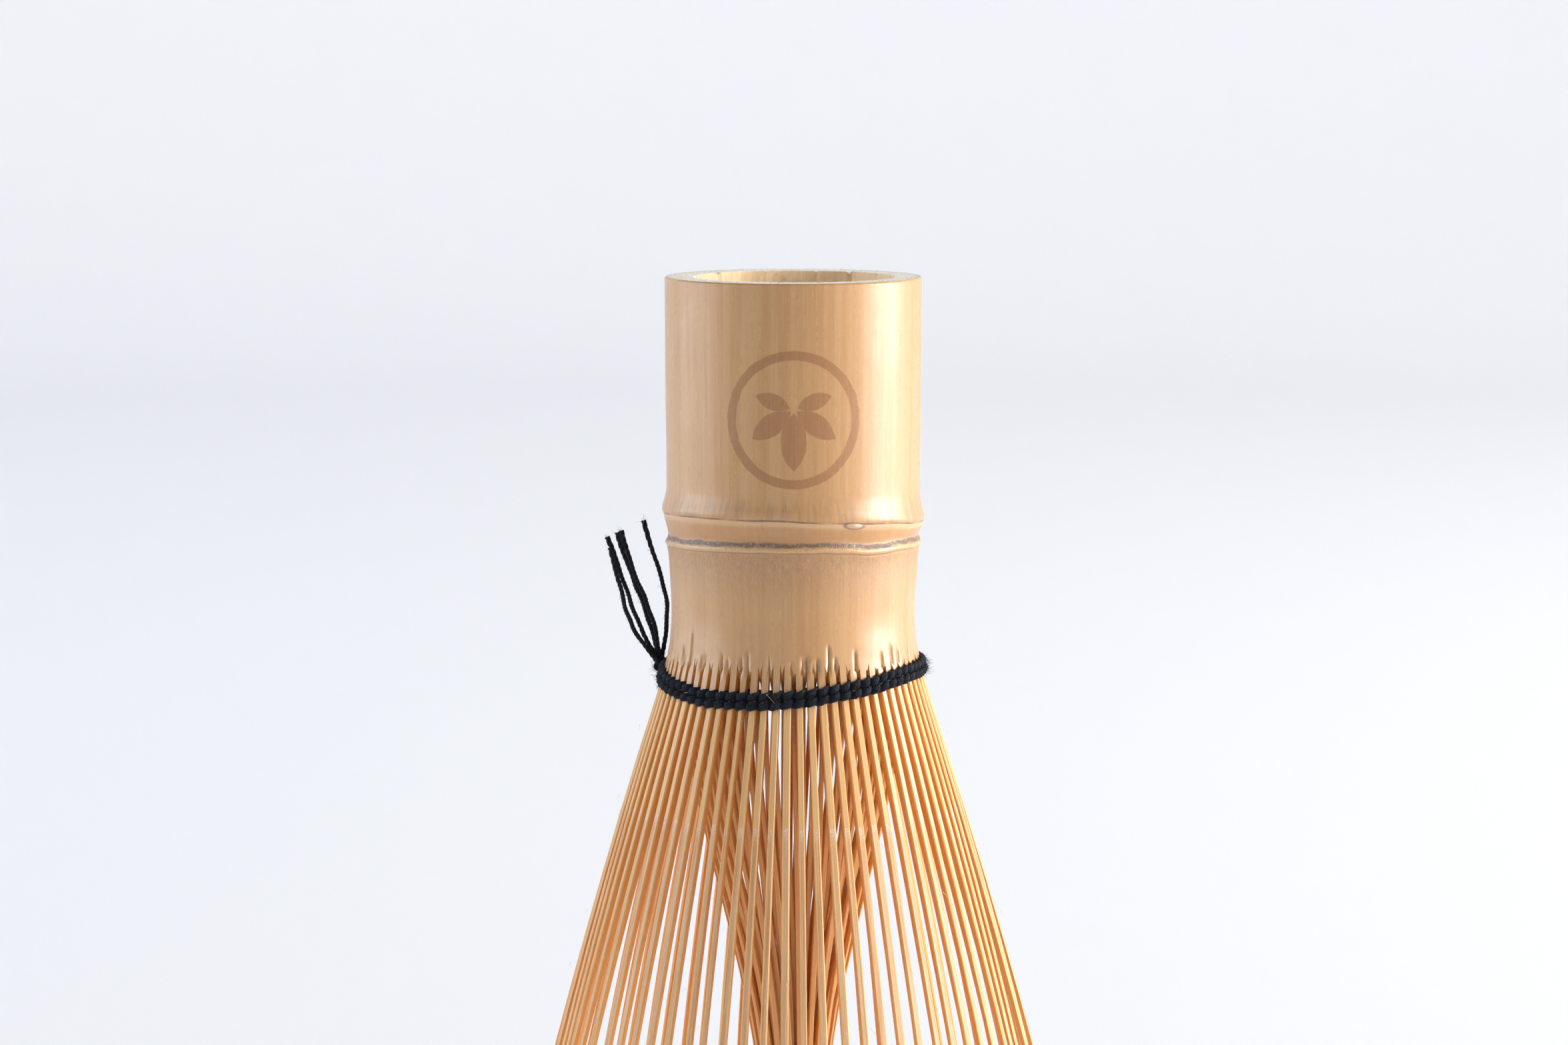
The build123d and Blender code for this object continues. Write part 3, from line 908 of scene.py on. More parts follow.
def outer_turn(index, depth):
    """Angle of an outer strip's middle line at this depth, in degrees."""
    uneven = OUTER_UNEVEN
    low = ease(depth, SPLIT_DEPTH, ROOT_DEPTH)
    far = (depth - ROOT_DEPTH) / (RIM_Z - ROOT_DEPTH)
    return PITCH * (index + 0.5) + low * uneven.turn[index] + max(far, 0) * uneven.sway[index]


def inner_turn(index, depth):
    run = (depth - INNER_TOP) / INNER_LENGTH
    sway = INNER_UNEVEN.sway[index] * 3.2 * ease(run, 0.15, 0.9)
    return PITCH * index + INNER_TWIST * max(run, 0) ** 2 + sway


def inner_radius(index, depth):
    """Outer face of an inner strip: flush with the skin at its split, then drawn in to the bundle."""
    run = max(depth - INNER_TOP, 0)
    end_r = INNER_END_R - LAYER_PITCH * (index % INNER_LAYERS)
    drawn = (1 - math.cos(math.pi * min(run / INNER_WAIST, 1))) / 2
    path = between(INNER_TOP_R, end_r, drawn)
    return between(strip_radius(depth), path, ease(depth, SPLIT_DEPTH - 0.6 * MM, 42.3 * MM))


def place_outer(column, skin_side, share):
    """Where a column of an outer strip is, this share of the way down to the thread."""
    index = (column // PITCH) % OUTER_COUNT
    depth = between(SPLIT_DEPTH, band_depth(column) + 0.3 * MM, share)
    off = column % PITCH - PITCH / 2
    width = OUTER_UNEVEN.width[index]
    radius = strip_radius(depth)
    if not skin_side:
        radius -= STRIP_THICK
    turn = outer_turn(index, depth) + off * between(1, width, share)
    return around(radius, turn, RIM_Z - depth), depth


def place_inner(column, skin_side, share):
    """Where a column of an inner strip is, this share of the way down to its own tine."""
    index = ((column + 2) // PITCH) % INNER_COUNT
    depth = between(SPLIT_DEPTH, STUB_END, share)
    off = (column + 2) % PITCH - 2
    radius = inner_radius(index, depth)
    if not skin_side:
        radius -= between(1.2, 0.5, ease(depth, SPLIT_DEPTH, 43 * MM)) * MM
    return around(radius, inner_turn(index, depth) + off, RIM_Z - depth), depth


def grow_strips(bm, layers, wanted, place, shares):
    """Pulls strips down out of the end of the wall, one section for each share of their length."""
    end_z = RIM_Z - SPLIT_DEPTH
    faces = []
    for face in bm.faces:
        if all(abs(v.co.z - end_z) < 0.001 * MM for v in face.verts):
            if int(angle_of(face.calc_center_median())) % PITCH in wanted:
                faces.append(face)
    for share in shares:
        made = bmesh.ops.extrude_face_region(bm, geom=faces)["geom"]
        bmesh.ops.delete(bm, geom=[f for f in faces if f.is_valid], context="FACES_ONLY")
        faces = [g for g in made if isinstance(g, bmesh.types.BMFace)]
        for vert in {v for face in faces for v in face.verts}:
            vert.co, depth = place(vert[layers["column"]], vert[layers["skin"]], share)
            vert[layers["grain"]].z = -depth
            vert[layers["section"]].x = 0.0 if vert[layers["skin"]] else -1.0


def lower_tips(bm, layers, culm):
    """Sets the top of every split at its own depth."""
    tips = tip_depths(culm)
    end_z = RIM_Z - SPLIT_DEPTH
    for vert in bm.verts:
        column = vert[layers["column"]]
        if column in tips and abs(vert.co.z - end_z) < 0.001 * MM:
            depth = tips[column]
            radius = strip_radius(depth) if vert[layers["skin"]] else CAVITY_END_R
            vert.co = around(radius, column, RIM_Z - depth)
            vert[layers["grain"]].z = -depth


def weather_culm(bm, layers, culm):
    """Bends the node's rings, sinks the crease, raises the bud and roughens the scar and the rim."""
    tops = crack_tops()
    for vert in bm.verts:
        depth = RIM_Z - vert.co.z
        angle = angle_of(vert.co)
        top = tops.get(vert[layers["column"]], SPLIT_DEPTH)
        crack = 0.5 * ease(depth, top, top + 1.2 * MM) if top < SPLIT_DEPTH else 0
        outward = Vector((vert.co.x, vert.co.y, 0)).normalized()
        if vert[layers["skin"]] and depth < SPLIT_DEPTH:
            push = -0.07 * hump(depth, CREASE_DEPTH, 0.1 * MM)
            push -= 0.07 * hump(depth, UNDER_LIP_DEPTH + 0.02 * MM, 0.1 * MM)
            push += 0.07 * rough(vert.co, 0.25 * MM) * hump(depth, SCAR_DEPTH + 0.1 * MM, 0.32 * MM)
            push += 0.05 * rough(vert.co, 6 * MM)
            bud = hump(angle, BUD_ANGLE % 360, 3.2) * hump(depth, BUD_DEPTH, 0.3 * MM)
            push += 0.16 * bud - crack
            vert.co += outward * push * MM
            vert.co.z -= node_shift(angle, depth)
            if depth < SPLIT_DEPTH - 0.95 * MM:
                for side in (-1, 1):
                    beside = tops.get((vert[layers["column"]] + side) % COLUMNS, SPLIT_DEPTH)
                    turn = math.radians(side * 0.68) * ease(depth, beside - 0.5 * MM, beside)
                    vert.co.rotate(Euler((0, 0, turn)))
        if depth < 0.4 * MM:
            saw = rough(vert.co, 0.5 * MM) + 0.5 * rough(vert.co, 2.5 * MM)
            vert.co.z += culm.rim_roughness * (saw - 1.0) * 0.5
            chip = max(rough(around(1, angle, 2), 0.09) - 0.35, 0)
            if math.hypot(vert.co.x, vert.co.y) < BORE_R + 0.6 * MM:
                vert.co += outward * chip * 0.9 * MM
                vert.co.z -= chip * 0.6 * MM


def build_culm(culm):
    """The culm, from its sawn rim to the strips that its wall is split into."""
    bm = bmesh.new()
    outline = culm_profile(culm)
    verts = [bm.verts.new((radius, 0, RIM_Z - depth)) for radius, depth in outline]
    edges = [bm.edges.new(pair) for pair in zip(verts, verts[1:] + verts[:1])]
    bmesh.ops.spin(
        bm, geom=verts + edges, cent=(0, 0, 0), axis=(0, 0, 1), dvec=(0, 0, 0),
        angle=math.tau, steps=COLUMNS, use_merge=True,
    )
    layers = {
        "column": bm.verts.layers.int.new("column"),
        "skin": bm.verts.layers.int.new("skin"),
        "grain": bm.verts.layers.float_vector.new("grain"),
        "section": bm.verts.layers.float_vector.new("section"),
    }
    middle = (BORE_R + culm.rim_radius) / 2
    for vert in bm.verts:
        angle = angle_of(vert.co)
        radius = math.hypot(vert.co.x, vert.co.y)
        vert[layers["column"]] = round(angle) % COLUMNS
        vert[layers["skin"]] = int(radius > middle)
        vert[layers["grain"]] = around(culm.rim_radius, angle, vert.co.z - RIM_Z)
    grow_strips(bm, layers, (1, 2, 3), place_outer, [0.16, 0.36, 0.58, 0.8, 1.0])
    grow_strips(bm, layers, (0, 4), place_inner, [0.05, 0.11, 0.18, 0.26, 0.34, 0.44, 0.56, 0.7, 0.85, 1.0])
    lower_tips(bm, layers, culm)
    bmesh.ops.recalc_face_normals(bm, faces=bm.faces)
    for face in bm.faces:
        skin = [v[layers["skin"]] for v in face.verts]
        depth = RIM_Z - face.calc_center_median().z
        if depth < 0.06 * MM:
            face.material_index = 1
        elif not any(skin):
            face.material_index = 2
        elif not all(skin):
            face.material_index = 3
    weather_culm(bm, layers, culm)
    shade(bm, 40)
    bm.verts.layers.int.remove(bm.verts.layers.int["column"])
    bm.verts.layers.int.remove(bm.verts.layers.int["skin"])
    return bm


class WHISK_OT_culm(bpy.types.Operator):
    """Build the culm: handle, node and the split end"""

    bl_idname = "whisk.culm"
    bl_label = "Culm"

    def execute(self, context):
        colours = context.scene.whisk_colours
        materials = [
            material_named("skin", skin_material, colours),
            material_named("sawn", sawn_material, colours),
            material_named("pith", pith_material, colours),
            material_named("split", split_material, colours),
        ]
        bm = build_culm(context.scene.whisk_culm)
        new_piece("culm", bm, materials, "culm", ["culm_handle"])
        return {"FINISHED"}


class WHISK_OT_diaphragm(bpy.types.Operator):
    """Finish the culm's own wall across the node"""

    bl_idname = "whisk.diaphragm"
    bl_label = "Node Wall"

    def execute(self, context):
        node = frame["nodes"]["node_diaphragm"]
        node.data.materials.clear()
        node.data.materials.append(diaphragm_material(context.scene.whisk_colours))
        return {"FINISHED"}


# ---- tines

SECTION = (  # corners of a tine's section: x from the skin inwards, y across, both as shares
    (0.0, -0.5 + CHAMFER),
    (0.0, 0.5 - CHAMFER),
    (-CHAMFER, 0.5),
    (-1.0 + CHAMFER, 0.5),
    (-1.0, 0.5 - CHAMFER),
    (-1.0, -0.5 + CHAMFER),
    (-1.0 + CHAMFER, -0.5),
    (-CHAMFER, -0.5),
)


def tine_layers(bm):
    return {
        "section": bm.verts.layers.float_vector.new("section"),
        "grain": bm.verts.layers.float_vector.new("grain"),
        "tone": bm.verts.layers.float.new("tone"),
    }


def section_matrices(points):
    """One placement for each point of a tine's outer face: x outwards, z back up the tine."""
    matrices = []
    for i, point in enumerate(points):
        behind, ahead = points[max(i - 1, 0)], points[min(i + 1, len(points) - 1)]
        up = (behind - ahead).normalized()
        outward = Vector((point.x, point.y, 0))
        outward = (outward - up * outward.dot(up)).normalized()
        side = up.cross(outward)
        matrices.append(Matrix((outward, side, up)).transposed().to_4x4())
        matrices[-1].translation = point
    return matrices


def add_tine(bm, layers, index, tone, stations):
    """Draws one tine out along its stations of (point on the outer face, width, thickness)."""
    matrices = section_matrices([point for point, width, thick in stations])
    corners = []
    for x, y in SECTION:
        vert = bm.verts.new()
        vert[layers["section"]] = (x, y, 0)
        corners.append(vert)
    face = bm.faces.new(corners)
    for i, (point, width, thick) in enumerate(stations):
        if i:
            made = bmesh.ops.extrude_face_region(bm, geom=[face])["geom"]
            face = next(g for g in made if isinstance(g, bmesh.types.BMFace))
        for vert in face.verts:
            x, y, _ = vert[layers["section"]]
            vert.co = matrices[i] @ Vector((x * thick, y * width, 0))
            vert[layers["grain"]] = (y * width + index * 3 * MM, x * thick, point.z - RIM_Z)
            vert[layers["tone"]] = tone


def skin_faces(bm, layers):
    """The outer faces keep the first material, and the split faces get the second."""
    for face in bm.faces:
        on_skin = all(v[layers["section"]].x > -CHAMFER / 2 for v in face.verts)
        face.material_index = 0 if on_skin else 1


def outer_path(index):
    """Points (radius, depth) of an outer tine, from behind the thread to its curled tip."""
    start = band_depth(PITCH * (index + 0.5)) + 0.02 * MM
    lean = OUTER_UNEVEN.lean[index]
    path = [(strip_radius(depth), depth) for depth in (start, between(start, ROOT_DEPTH, 0.5), ROOT_DEPTH)]
    curl_start = math.atan(OUTER_END_SLOPE)
    curl_drop = CURL_R * (math.sin(curl_start) + math.sin(math.radians(CURL_END)))
    straight = RIM_Z - ROOT_DEPTH - OUTER_UNEVEN.short[index] - curl_drop
    steps = 7
    for i in range(1, steps + 1):
        share = i / steps
        slope = between(OUTER_SLOPE, OUTER_END_SLOPE, share / 2)
        wander = lean * MM * share**1.5
        path.append((path[2][0] + slope * straight * share + wander, ROOT_DEPTH + straight * share))
    centre_r = path[-1][0] - CURL_R * math.cos(curl_start)
    centre_depth = path[-1][1] + CURL_R * math.sin(curl_start)
    bends = 6
    for i in range(1, bends + 1):
        turn = between(curl_start, -math.radians(CURL_END), i / bends)
        path.append((centre_r + CURL_R * math.cos(turn), centre_depth - CURL_R * math.sin(turn)))
    return path


def outer_stations(index, tines):
    """Where an outer tine runs, and how wide and thick it is there."""
    stations = []
    width = tines.outer_width * OUTER_UNEVEN.width[index]
    for radius, depth in outer_path(index):
        low = ease(depth, ROOT_DEPTH, RIM_Z - 25 * MM)
        tip = ease(depth, RIM_Z - 26 * MM, RIM_Z)
        wide = width * between(between(0.98, 1.05, low), 0.8, tip)
        thick = tines.outer_thickness * between(between(1.05, 0.6, low), 0.32, tip)
        turn = outer_turn(index, depth)
        stations.append((around(radius, turn, RIM_Z - depth), wide, thick))
    return stations


def inner_stations(index, tines):
    """Where an inner tine runs, and how wide and thick it is there."""
    steps = 15
    end = INNER_TOP + INNER_LENGTH - INNER_UNEVEN.short[index]
    stations = []
    for i in range(steps + 1):
        depth = between(STUB_END - 0.05 * MM, end, i / steps)
        share = i / steps
        wide = between(0.42 * MM, tines.inner_width * INNER_UNEVEN.width[index], ease(share, 0, 0.4))
        wide *= between(1, 0.82, ease(share, 0.6, 1))
        thick = between(0.5, 0.3, share) * MM
        radius = inner_radius(index, depth)
        stations.append((around(radius, inner_turn(index, depth), RIM_Z - depth), wide, thick))
    return stations


def add_splinters(bm, layers, draw, lines, count):
    """Hair-thin loose fibres that stand off the edges of the tines."""
    for _ in range(count):
        stations = draw.choice(lines)
        point, width, thick = draw.choice(stations[2:-5])
        lean = draw.uniform(0.15, 0.7) * draw.choice((-1, 1))
        reach = draw.uniform(0.5, 1.3) * MM
        side = Vector((-point.y, point.x, 0)).normalized()
        spot = point + side * width * 0.5 * (1 if lean > 0 else -1) + Vector((0, 0, draw.uniform(-3, 3) * MM))
        turn = Vector((0, 0, 1)).rotation_difference(Vector((0, 0, -1)) + side * lean * 1.3 + point * 9)
        middle = turn @ Vector((0, 0, reach / 2))
        made = bmesh.ops.create_cone(
            bm, cap_ends=True, segments=3, radius1=0.022 * MM, radius2=0.006 * MM, depth=reach,
            matrix=Matrix.Translation(spot + middle) @ turn.to_matrix().to_4x4(),
        )
        for vert in made["verts"]:
            vert[layers["grain"]] = (spot.x, spot.y, spot.z - RIM_Z)
            vert[layers["section"]] = (-0.05, 0.45, 0)
            vert[layers["tone"]] = 1.0


def tine_group(members, uneven, make_stations, tines, seed):
    """One piece of several neighbouring tines, with their loose fibres."""
    bm = bmesh.new()
    layers = tine_layers(bm)
    lines = []
    for index in members:
        lines.append(make_stations(index, tines))
        add_tine(bm, layers, index, uneven.tone[index], lines[-1])
    add_splinters(bm, layers, random.Random(seed), lines, tines.splinters)
    bmesh.ops.recalc_face_normals(bm, faces=bm.faces)
    skin_faces(bm, layers)
    shade(bm, 35)
    return bm


def bend_with(piece):
    """Bakes the placement of a group of tines into its mesh."""
    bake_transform(piece)


class WHISK_OT_outer_tines(bpy.types.Operator):
    """Build the outer tines, in twelve groups"""

    bl_idname = "whisk.outer_tines"
    bl_label = "Outer Tines"

    def execute(self, context):
        tines, colours = context.scene.whisk_tines, context.scene.whisk_colours
        materials = [
            material_named("tine_skin", tine_skin_material, colours),
            material_named("split", split_material, colours),
        ]
        size = OUTER_COUNT // OUTER_GROUPS
        for k in range(OUTER_GROUPS):
            members = range(k * size, (k + 1) * size)
            bm = tine_group(members, OUTER_UNEVEN, outer_stations, tines, 100 + k)
            number = f"{k + 1:02d}"
            node = f"outer_tines_{number}"
            piece = new_piece(f"split_{node}", bm, materials, None, [node])
            bend_with(piece)
        return {"FINISHED"}


class WHISK_OT_inner_tines(bpy.types.Operator):
    """Build the inner tines, in six groups"""

    bl_idname = "whisk.inner_tines"
    bl_label = "Inner Tines"

    def execute(self, context):
        tines, colours = context.scene.whisk_tines, context.scene.whisk_colours
        materials = [
            material_named("inner_tine", inner_tine_material),
            material_named("split", split_material, colours),
        ]
        size = INNER_COUNT // INNER_GROUPS
        for k in range(INNER_GROUPS):
            members = range(k * size, (k + 1) * size)
            bm = tine_group(members, INNER_UNEVEN, inner_stations, tines, 200 + k)
            number = f"{k + 1:02d}"
            node = f"inner_tines_{number}"
            piece = new_piece(f"split_{node}", bm, materials, None, [node])
            bend_with(piece)
        return {"FINISHED"}


# ---- thread


def new_thread(name, thickest, material, resolution=1):
    """An empty curve object for plies and fibres. A spline point's radius is a share of the thickest."""
    data = bpy.data.curves.new(name, "CURVE")
    data.dimensions = "3D"
    data.bevel_depth = thickest
    data.bevel_resolution = resolution
    data.materials.append(material)
    return data


def add_spline(data, points, radii, cyclic=False):
    spline = data.splines.new("POLY")
    spline.points.add(len(points) - 1)
    for target, point, radius in zip(spline.points, points, radii):
        target.co = (*point, 1.0)
        target.radius = radius
    spline.use_cyclic_u = cyclic
    spline.use_smooth = True


def thread_piece(name, data, replaced):
    """Turns a thread's curves into one mesh piece that rides on the culm."""
    shape = bpy.data.objects.new(name + "_line", data)
    mesh = bpy.data.meshes.new_from_object(shape)
    bpy.data.objects.remove(shape)
    mesh.name = name
    return place_piece(name, mesh, [], "culm", replaced)


def twist_plies(data, line, turns, count, spread, cyclic, loosen=0.0, flatness=1.0):
    """Winds plies round a line of (point, outward, up), which part near a loosened end."""
    last = len(line) if cyclic else len(line) - 1
    for k in range(count):
        points, radii = [], []
        for i, (point, outward, up) in enumerate(line):
            share = i / last
            turn = math.tau * (turns * share + k / count)
            reach = spread * (1 + loosen * ease(share, 0.86, 1.0))
            points.append(point + outward * reach * flatness * math.cos(turn) + up * reach * math.sin(turn))
            radii.append(1 + 0.2 * rough(points[-1], 0.5 * MM))
        add_spline(data, points, radii, cyclic)


def add_fuzz(data, draw, spots, count, reach):
    """Curly loose fibres, each from a (point, outward) on the thread."""
    for _ in range(count):
        point, outward = draw.choice(spots)
        aim = (outward + Vector([draw.gauss(0, 0.8) for _ in range(3)])).normalized()
        size = reach * draw.uniform(0.3, 1.5)
        curl = Vector([draw.gauss(0, 0.5) for _ in range(3)])
        points = []
        for i in range(5):
            share = i / 4
            bend = curl * share * share - Vector((0, 0, 0.2)) * share
            points.append(point + (aim + bend) * size * share)
        add_spline(data, points, [0.07, 0.065, 0.06, 0.055, 0.04])


def woven_row(data, thread, side, seed):
    """One row of the binding: two strands that take turns in front of and behind the outer tines."""
    draw = random.Random(seed)
    spots = []
    steps = 9
    ply = thread.ply_radius
    spread = ply * 1.85
    for strand in range(2):
        line = []
        count = OUTER_COUNT * steps
        for i in range(count):
            angle = 360 * i / count
            beat = math.tau * (angle - PITCH / 2) / (2 * PITCH) + math.pi * strand
            depth = band_depth(angle) + side * ROW_PITCH / 2
            depth += 0.08 * MM * rough(around(1, angle, seed), 0.12)
            front = strip_radius(depth) + ply + spread * STRAND_FLATNESS
            radius = front - STRAND_WAVE * ((1 - math.cos(beat)) / 2) ** 1.4
            z = RIM_Z - depth + 0.1 * MM * math.sin(beat)
            outward = around(1, angle, 0)
            point = around(radius, angle, z)
            line.append((point, outward, Vector((0, 0, 1))))
            if math.cos(beat) > 0.2:
                face = (outward + Vector((0, 0, draw.uniform(-0.9, 0.9)))).normalized()
                spots.append((point + face * (ply + spread * STRAND_FLATNESS * 0.7), face))
        twist_plies(data, line, STRAND_TURNS, STRAND_PLIES, spread, True, flatness=STRAND_FLATNESS)
    add_fuzz(data, draw, spots, thread.fuzz, thread.fuzz_length)


def ring_line(radius, depth, steps):
    line = []
    for i in range(steps):
        angle = 360 * i / steps
        line.append((around(radius, angle, RIM_Z - depth), around(1, angle, 0), Vector((0, 0, 1))))
    return line


def knot_line():
    """A small overhand knot, as a trefoil pressed flat against the binding."""
    centre = (KNOT_BOX[0] + KNOT_BOX[1]) / 2
    half = (KNOT_BOX[1] - KNOT_BOX[0]) / 2
    outward = Vector((centre.x, centre.y, 0)).normalized()
    centre -= outward * 0.5 * MM
    side = Vector((0, 0, 1)).cross(outward)
    steps = 60
    line = []
    for i in range(steps):
        turn = math.tau * i / steps
        across = (math.sin(turn) + 2 * math.sin(2 * turn)) / 3
        up = (math.cos(turn) - 2 * math.cos(2 * turn)) / 3
        out = -math.sin(3 * turn)
        point = centre + side * across * KNOT_HALF_WIDTH + outward * out * 0.3 * MM
        point.z += up * half.z * 0.8
        line.append((point, outward, Vector((0, 0, 1))))
    return line


class WHISK_OT_binding(bpy.types.Operator):
    """Weave the two rows of thread, the pass behind the tines and the knot"""

    bl_idname = "whisk.binding"
    bl_label = "Binding"

    def execute(self, context):
        thread, colours = context.scene.whisk_thread, context.scene.whisk_colours
        material = material_named("thread", thread_material, colours, "binding_thread", 900.0)
        for node, side, seed in (("binding_upper_row", -1, 31), ("binding_lower_row", 1, 47)):
            data = new_thread(node, thread.ply_radius, material)
            woven_row(data, thread, side, seed)
            thread_piece(f"woven_{node}", data, [node])
        data = new_thread("binding_inner_pass", thread.ply_radius * 0.6, material)
        depth = RIM_Z - (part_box("binding_inner_pass")[0].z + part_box("binding_inner_pass")[1].z) / 2
        twist_plies(data, ring_line(INNER_PASS_R, depth, 360), 60, 3, thread.ply_radius * 0.65, True)
        thread_piece("twisted_inner_pass", data, ["binding_inner_pass"])
        self.tie_knot(thread, material)
        return {"FINISHED"}

    def tie_knot(self, thread, material):
        data = new_thread("binding_knot", thread.ply_radius * 0.85, material)
        line = knot_line()
        twist_plies(data, line, 9, 3, thread.ply_radius * 0.85, True)
        spots = [(point + outward * 0.3 * MM, outward) for point, outward, up in line]
        add_fuzz(data, random.Random(61), spots, 60, thread.fuzz_length)
        thread_piece("tied_knot", data, ["binding_knot"])


def smooth_route(route):
    """Even points of the smooth line that a route's points shape."""
    data = bpy.data.curves.new("route", "CURVE")
    data.dimensions = "3D"
    data.resolution_u = 14
    spline = data.splines.new("NURBS")
    spline.points.add(len(route) - 1)
    for target, point in zip(spline.points, route):
        target.co = (*(Vector(point) * MM), 1.0)
    spline.order_u = 3
    spline.use_endpoint_u = True
    shape = bpy.data.objects.new("route", data)
    mesh = bpy.data.meshes.new_from_object(shape)
    points = [vert.co.copy() for vert in mesh.vertices]
    bpy.data.objects.remove(shape)
    return points


def tail_line(points, draw):
    """A limp thread's line: the route with the small kinks that twisted yarn keeps."""
    phase = draw.uniform(0, math.tau)
    line = []
    for i, point in enumerate(points):
        along = (points[min(i + 1, len(points) - 1)] - points[max(i - 1, 0)]).normalized()
        outward = along.cross(Vector((0.3, 1, 0.1))).normalized()
        kink = 0.05 * MM * math.sin(phase + i * 0.37) * min(i / 8, 1)
        line.append((point + outward * kink, outward, along.cross(outward)))
    return line


class WHISK_OT_tails(bpy.types.Operator):
    """Twist the five loose ends of the thread"""

    bl_idname = "whisk.tails"
    bl_label = "Loose Ends"

    def execute(self, context):
        thread, colours = context.scene.whisk_thread, context.scene.whisk_colours
        material = material_named("tail", thread_material, colours, "tail_thread", 120.0)
        for k, (node, route) in enumerate(TAIL_ROUTES.items()):
            draw = random.Random(71 + k)
            line = tail_line(smooth_route(route), draw)
            data = new_thread(node, thread.ply_radius * 0.86, material)
            data.use_fill_caps = True
            twist_plies(data, line, 9, 3, thread.ply_radius * 0.78, False, loosen=0.5)
            spots = []
            for point, outward, up in line:
                spots.append((point + outward * 0.2 * MM, outward * draw.choice((-1, 1))))
            add_fuzz(data, draw, spots, 55, thread.fuzz_length * 0.6)
            tip, before = line[-1][0], line[-4][0]
            heading = (tip - before).normalized()
            add_fuzz(data, draw, [(tip - heading * 0.2 * MM, heading * 2)], 14, thread.fuzz_length)
            thread_piece(f"loose_{node}", data, [node])
        return {"FINISHED"}


# ---- stage


CAMERA_BACK = 388.0 * MM
CAMERA_ABOVE_RIM = 23.1 * MM
CAMERA_LEFT = 0.98 * MM
CAMERA_DOWN = 7.22  # degrees


def area_light(name, power, size, place, tint, aim=(0, 0, 0.07)):
    data = bpy.data.lights.new(name, "AREA")
    data.shape = "RECTANGLE"
    data.energy = power
    data.size, data.size_y = size
    data.color = tint
    light = bpy.data.objects.new(name, data)
    light.location = place
    light.rotation_euler = (Vector(aim) - Vector(place)).to_track_quat("-Z", "Y").to_euler()
    bpy.context.scene.collection.objects.link(light)


def backdrop_material(tint):
    """Matt pale paper with a barely visible tooth."""
    material, tree, shader = new_material("backdrop_paper")
    point = put(tree, "ShaderNodeTexCoord").outputs["Object"]
    tooth = noise_at(tree, point, 900.0, 4.0)
    base = painted(tree, tint, (0.80, 0.81, 0.84), tooth, 0.06)
    tree.links.new(base, shader.inputs["Base Color"])
    tree.links.new(bumped(tree, tooth, 0.02 * MM, 0.2), shader.inputs["Normal"])
    set_inputs(shader, {"Roughness": 0.9})
    return material


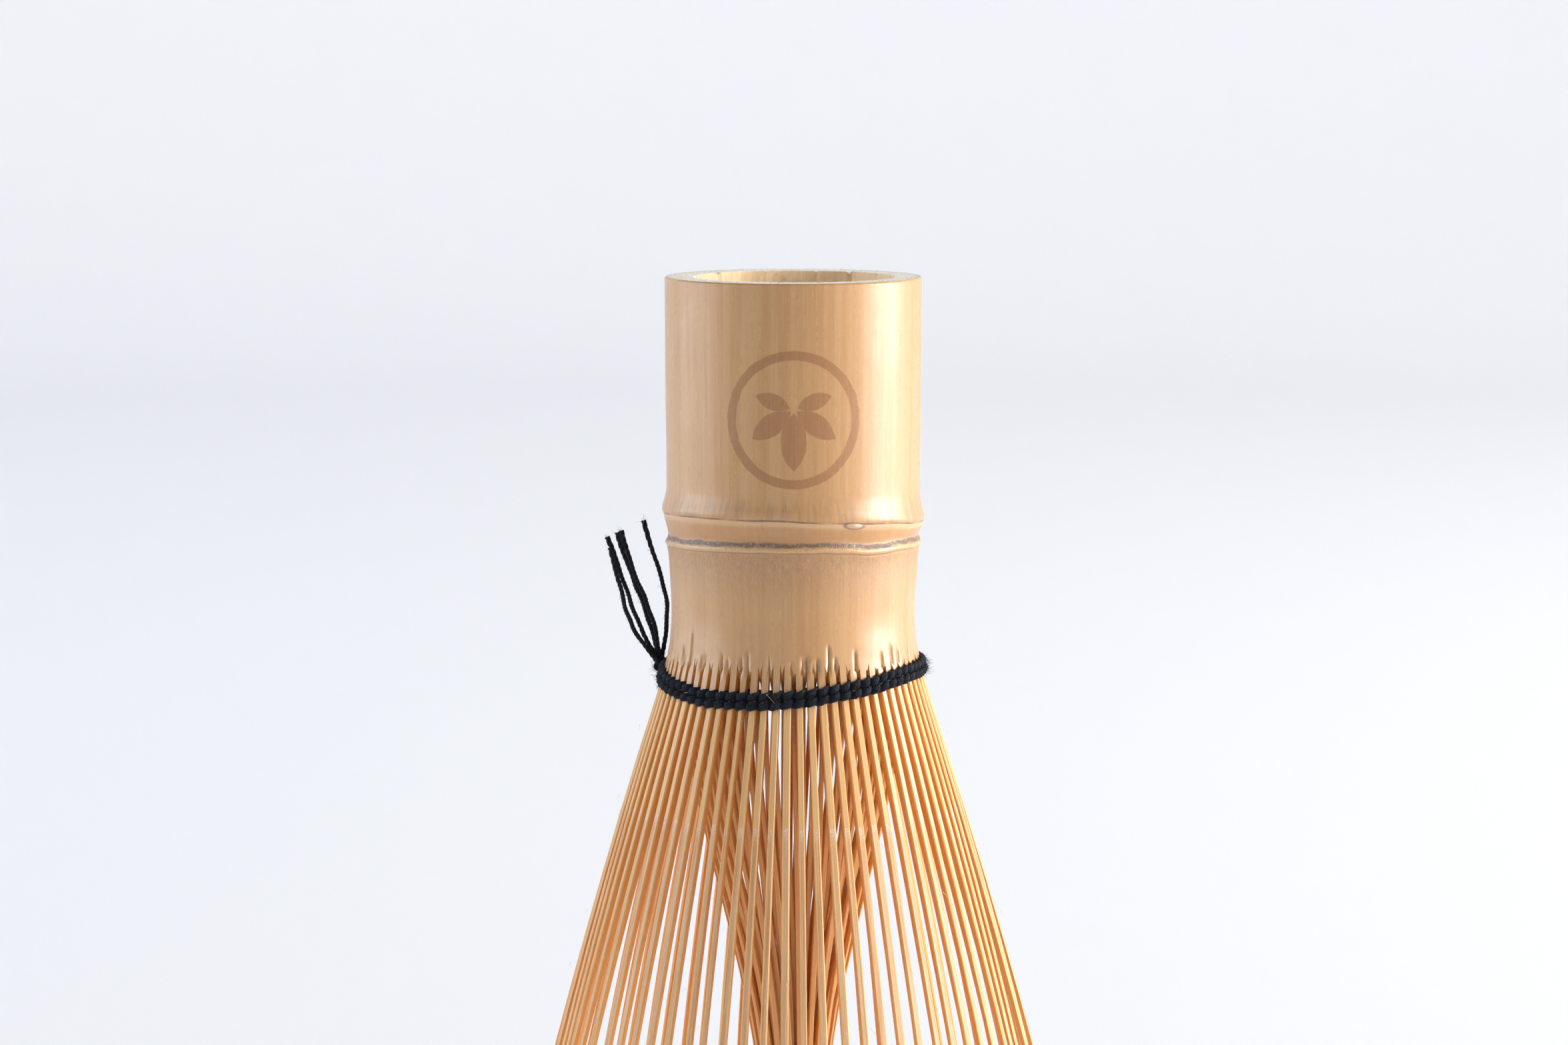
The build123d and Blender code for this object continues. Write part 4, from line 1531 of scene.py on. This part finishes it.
class WHISK_OT_stage(bpy.types.Operator):
    """Set the camera, the soft studio lights and a pale round cove to stand on"""

    bl_idname = "whisk.stage"
    bl_label = "Stage"

    def execute(self, context):
        stage = context.scene.whisk_stage
        self.place_camera(context.scene)
        self.build_cove(stage)
        area_light("key_softbox", stage.key, (0.7, 0.9), (1.05, -0.02, 0.28), (1.0, 0.975, 0.94))
        area_light("fill_softbox", stage.fill, (0.9, 1.0), (-1.0, 0.08, 0.25), (0.82, 0.9, 1.0))
        area_light("back_softbox", stage.back, (2.4, 1.2), (0.2, 1.1, 1.3), (1.0, 0.99, 0.98), (0.2, 1.25, 0))
        world = bpy.data.worlds.new("studio_air")
        world.use_nodes = True
        background = world.node_tree.nodes["Background"]
        background.inputs["Color"].default_value = (0.90, 0.94, 1.0, 1.0)
        background.inputs["Strength"].default_value = 0.12
        context.scene.world = world
        context.scene.view_settings.view_transform = "Standard"
        return {"FINISHED"}

    def place_camera(self, scene):
        data = bpy.data.cameras.new("camera")
        data.lens = 85.0
        data.sensor_width = 36.0
        data.clip_start = 0.01
        camera = bpy.data.objects.new("camera", data)
        camera.location = (-CAMERA_LEFT, -CAMERA_BACK, RIM_Z + CAMERA_ABOVE_RIM)
        camera.rotation_euler = (math.radians(90 - CAMERA_DOWN), 0, 0)
        scene.collection.objects.link(camera)
        scene.camera = camera

    def build_cove(self, stage):
        floor_r, bend_r, height, bends = 1.1, 0.5, 1.3, 10
        bm = bmesh.new()
        outline = [(0.0, 0.0), (floor_r, 0.0)]
        for i in range(1, bends + 1):
            turn = math.radians(90 * i / bends)
            outline.append((floor_r + bend_r * math.sin(turn), bend_r * (1 - math.cos(turn))))
        outline.append((floor_r + bend_r, height))
        verts = [bm.verts.new((x, 0, z - 0.02 * MM)) for x, z in outline]
        edges = [bm.edges.new(pair) for pair in zip(verts, verts[1:])]
        bmesh.ops.spin(
            bm, geom=verts + edges, cent=(0, 0, 0), axis=(0, 0, 1), dvec=(0, 0, 0),
            angle=math.tau, steps=96, use_merge=True,
        )
        bmesh.ops.remove_doubles(bm, verts=bm.verts, dist=0.01 * MM)
        bmesh.ops.recalc_face_normals(bm, faces=bm.faces)
        shade(bm, 60)
        cove = new_piece("cove", bm, [backdrop_material(stage.backdrop)])


# ---- add-on

STEPS = (
    WHISK_OT_stage,
    WHISK_OT_culm,
    WHISK_OT_diaphragm,
    WHISK_OT_outer_tines,
    WHISK_OT_inner_tines,
    WHISK_OT_binding,
    WHISK_OT_tails,
)


class WHISK_PT_panel(bpy.types.Panel):
    """Lists the pieces of the whisk and their sizes"""

    bl_idname = "WHISK_PT_panel"
    bl_label = "Tea Whisk"
    bl_space_type = "VIEW_3D"
    bl_region_type = "UI"
    bl_category = "Tea Whisk"

    def draw(self, context):
        for step in STEPS:
            self.layout.operator(step.bl_idname)
        for name, group in GROUPS.items():
            box = self.layout.box()
            for key in group.__annotations__:
                box.prop(getattr(context.scene, name), key)


def register():
    for cls in (*GROUPS.values(), *STEPS, WHISK_PT_panel):
        bpy.utils.register_class(cls)
    for name, group in GROUPS.items():
        setattr(bpy.types.Scene, name, PointerProperty(type=group))


def unregister():
    for name in GROUPS:
        delattr(bpy.types.Scene, name)
    for cls in reversed((*GROUPS.values(), *STEPS, WHISK_PT_panel)):
        bpy.utils.unregister_class(cls)


def main():
    register()
    for step in STEPS:
        group, name = step.bl_idname.split(".")
        getattr(getattr(bpy.ops, group), name)()


if __name__ == "__main__":
    main()
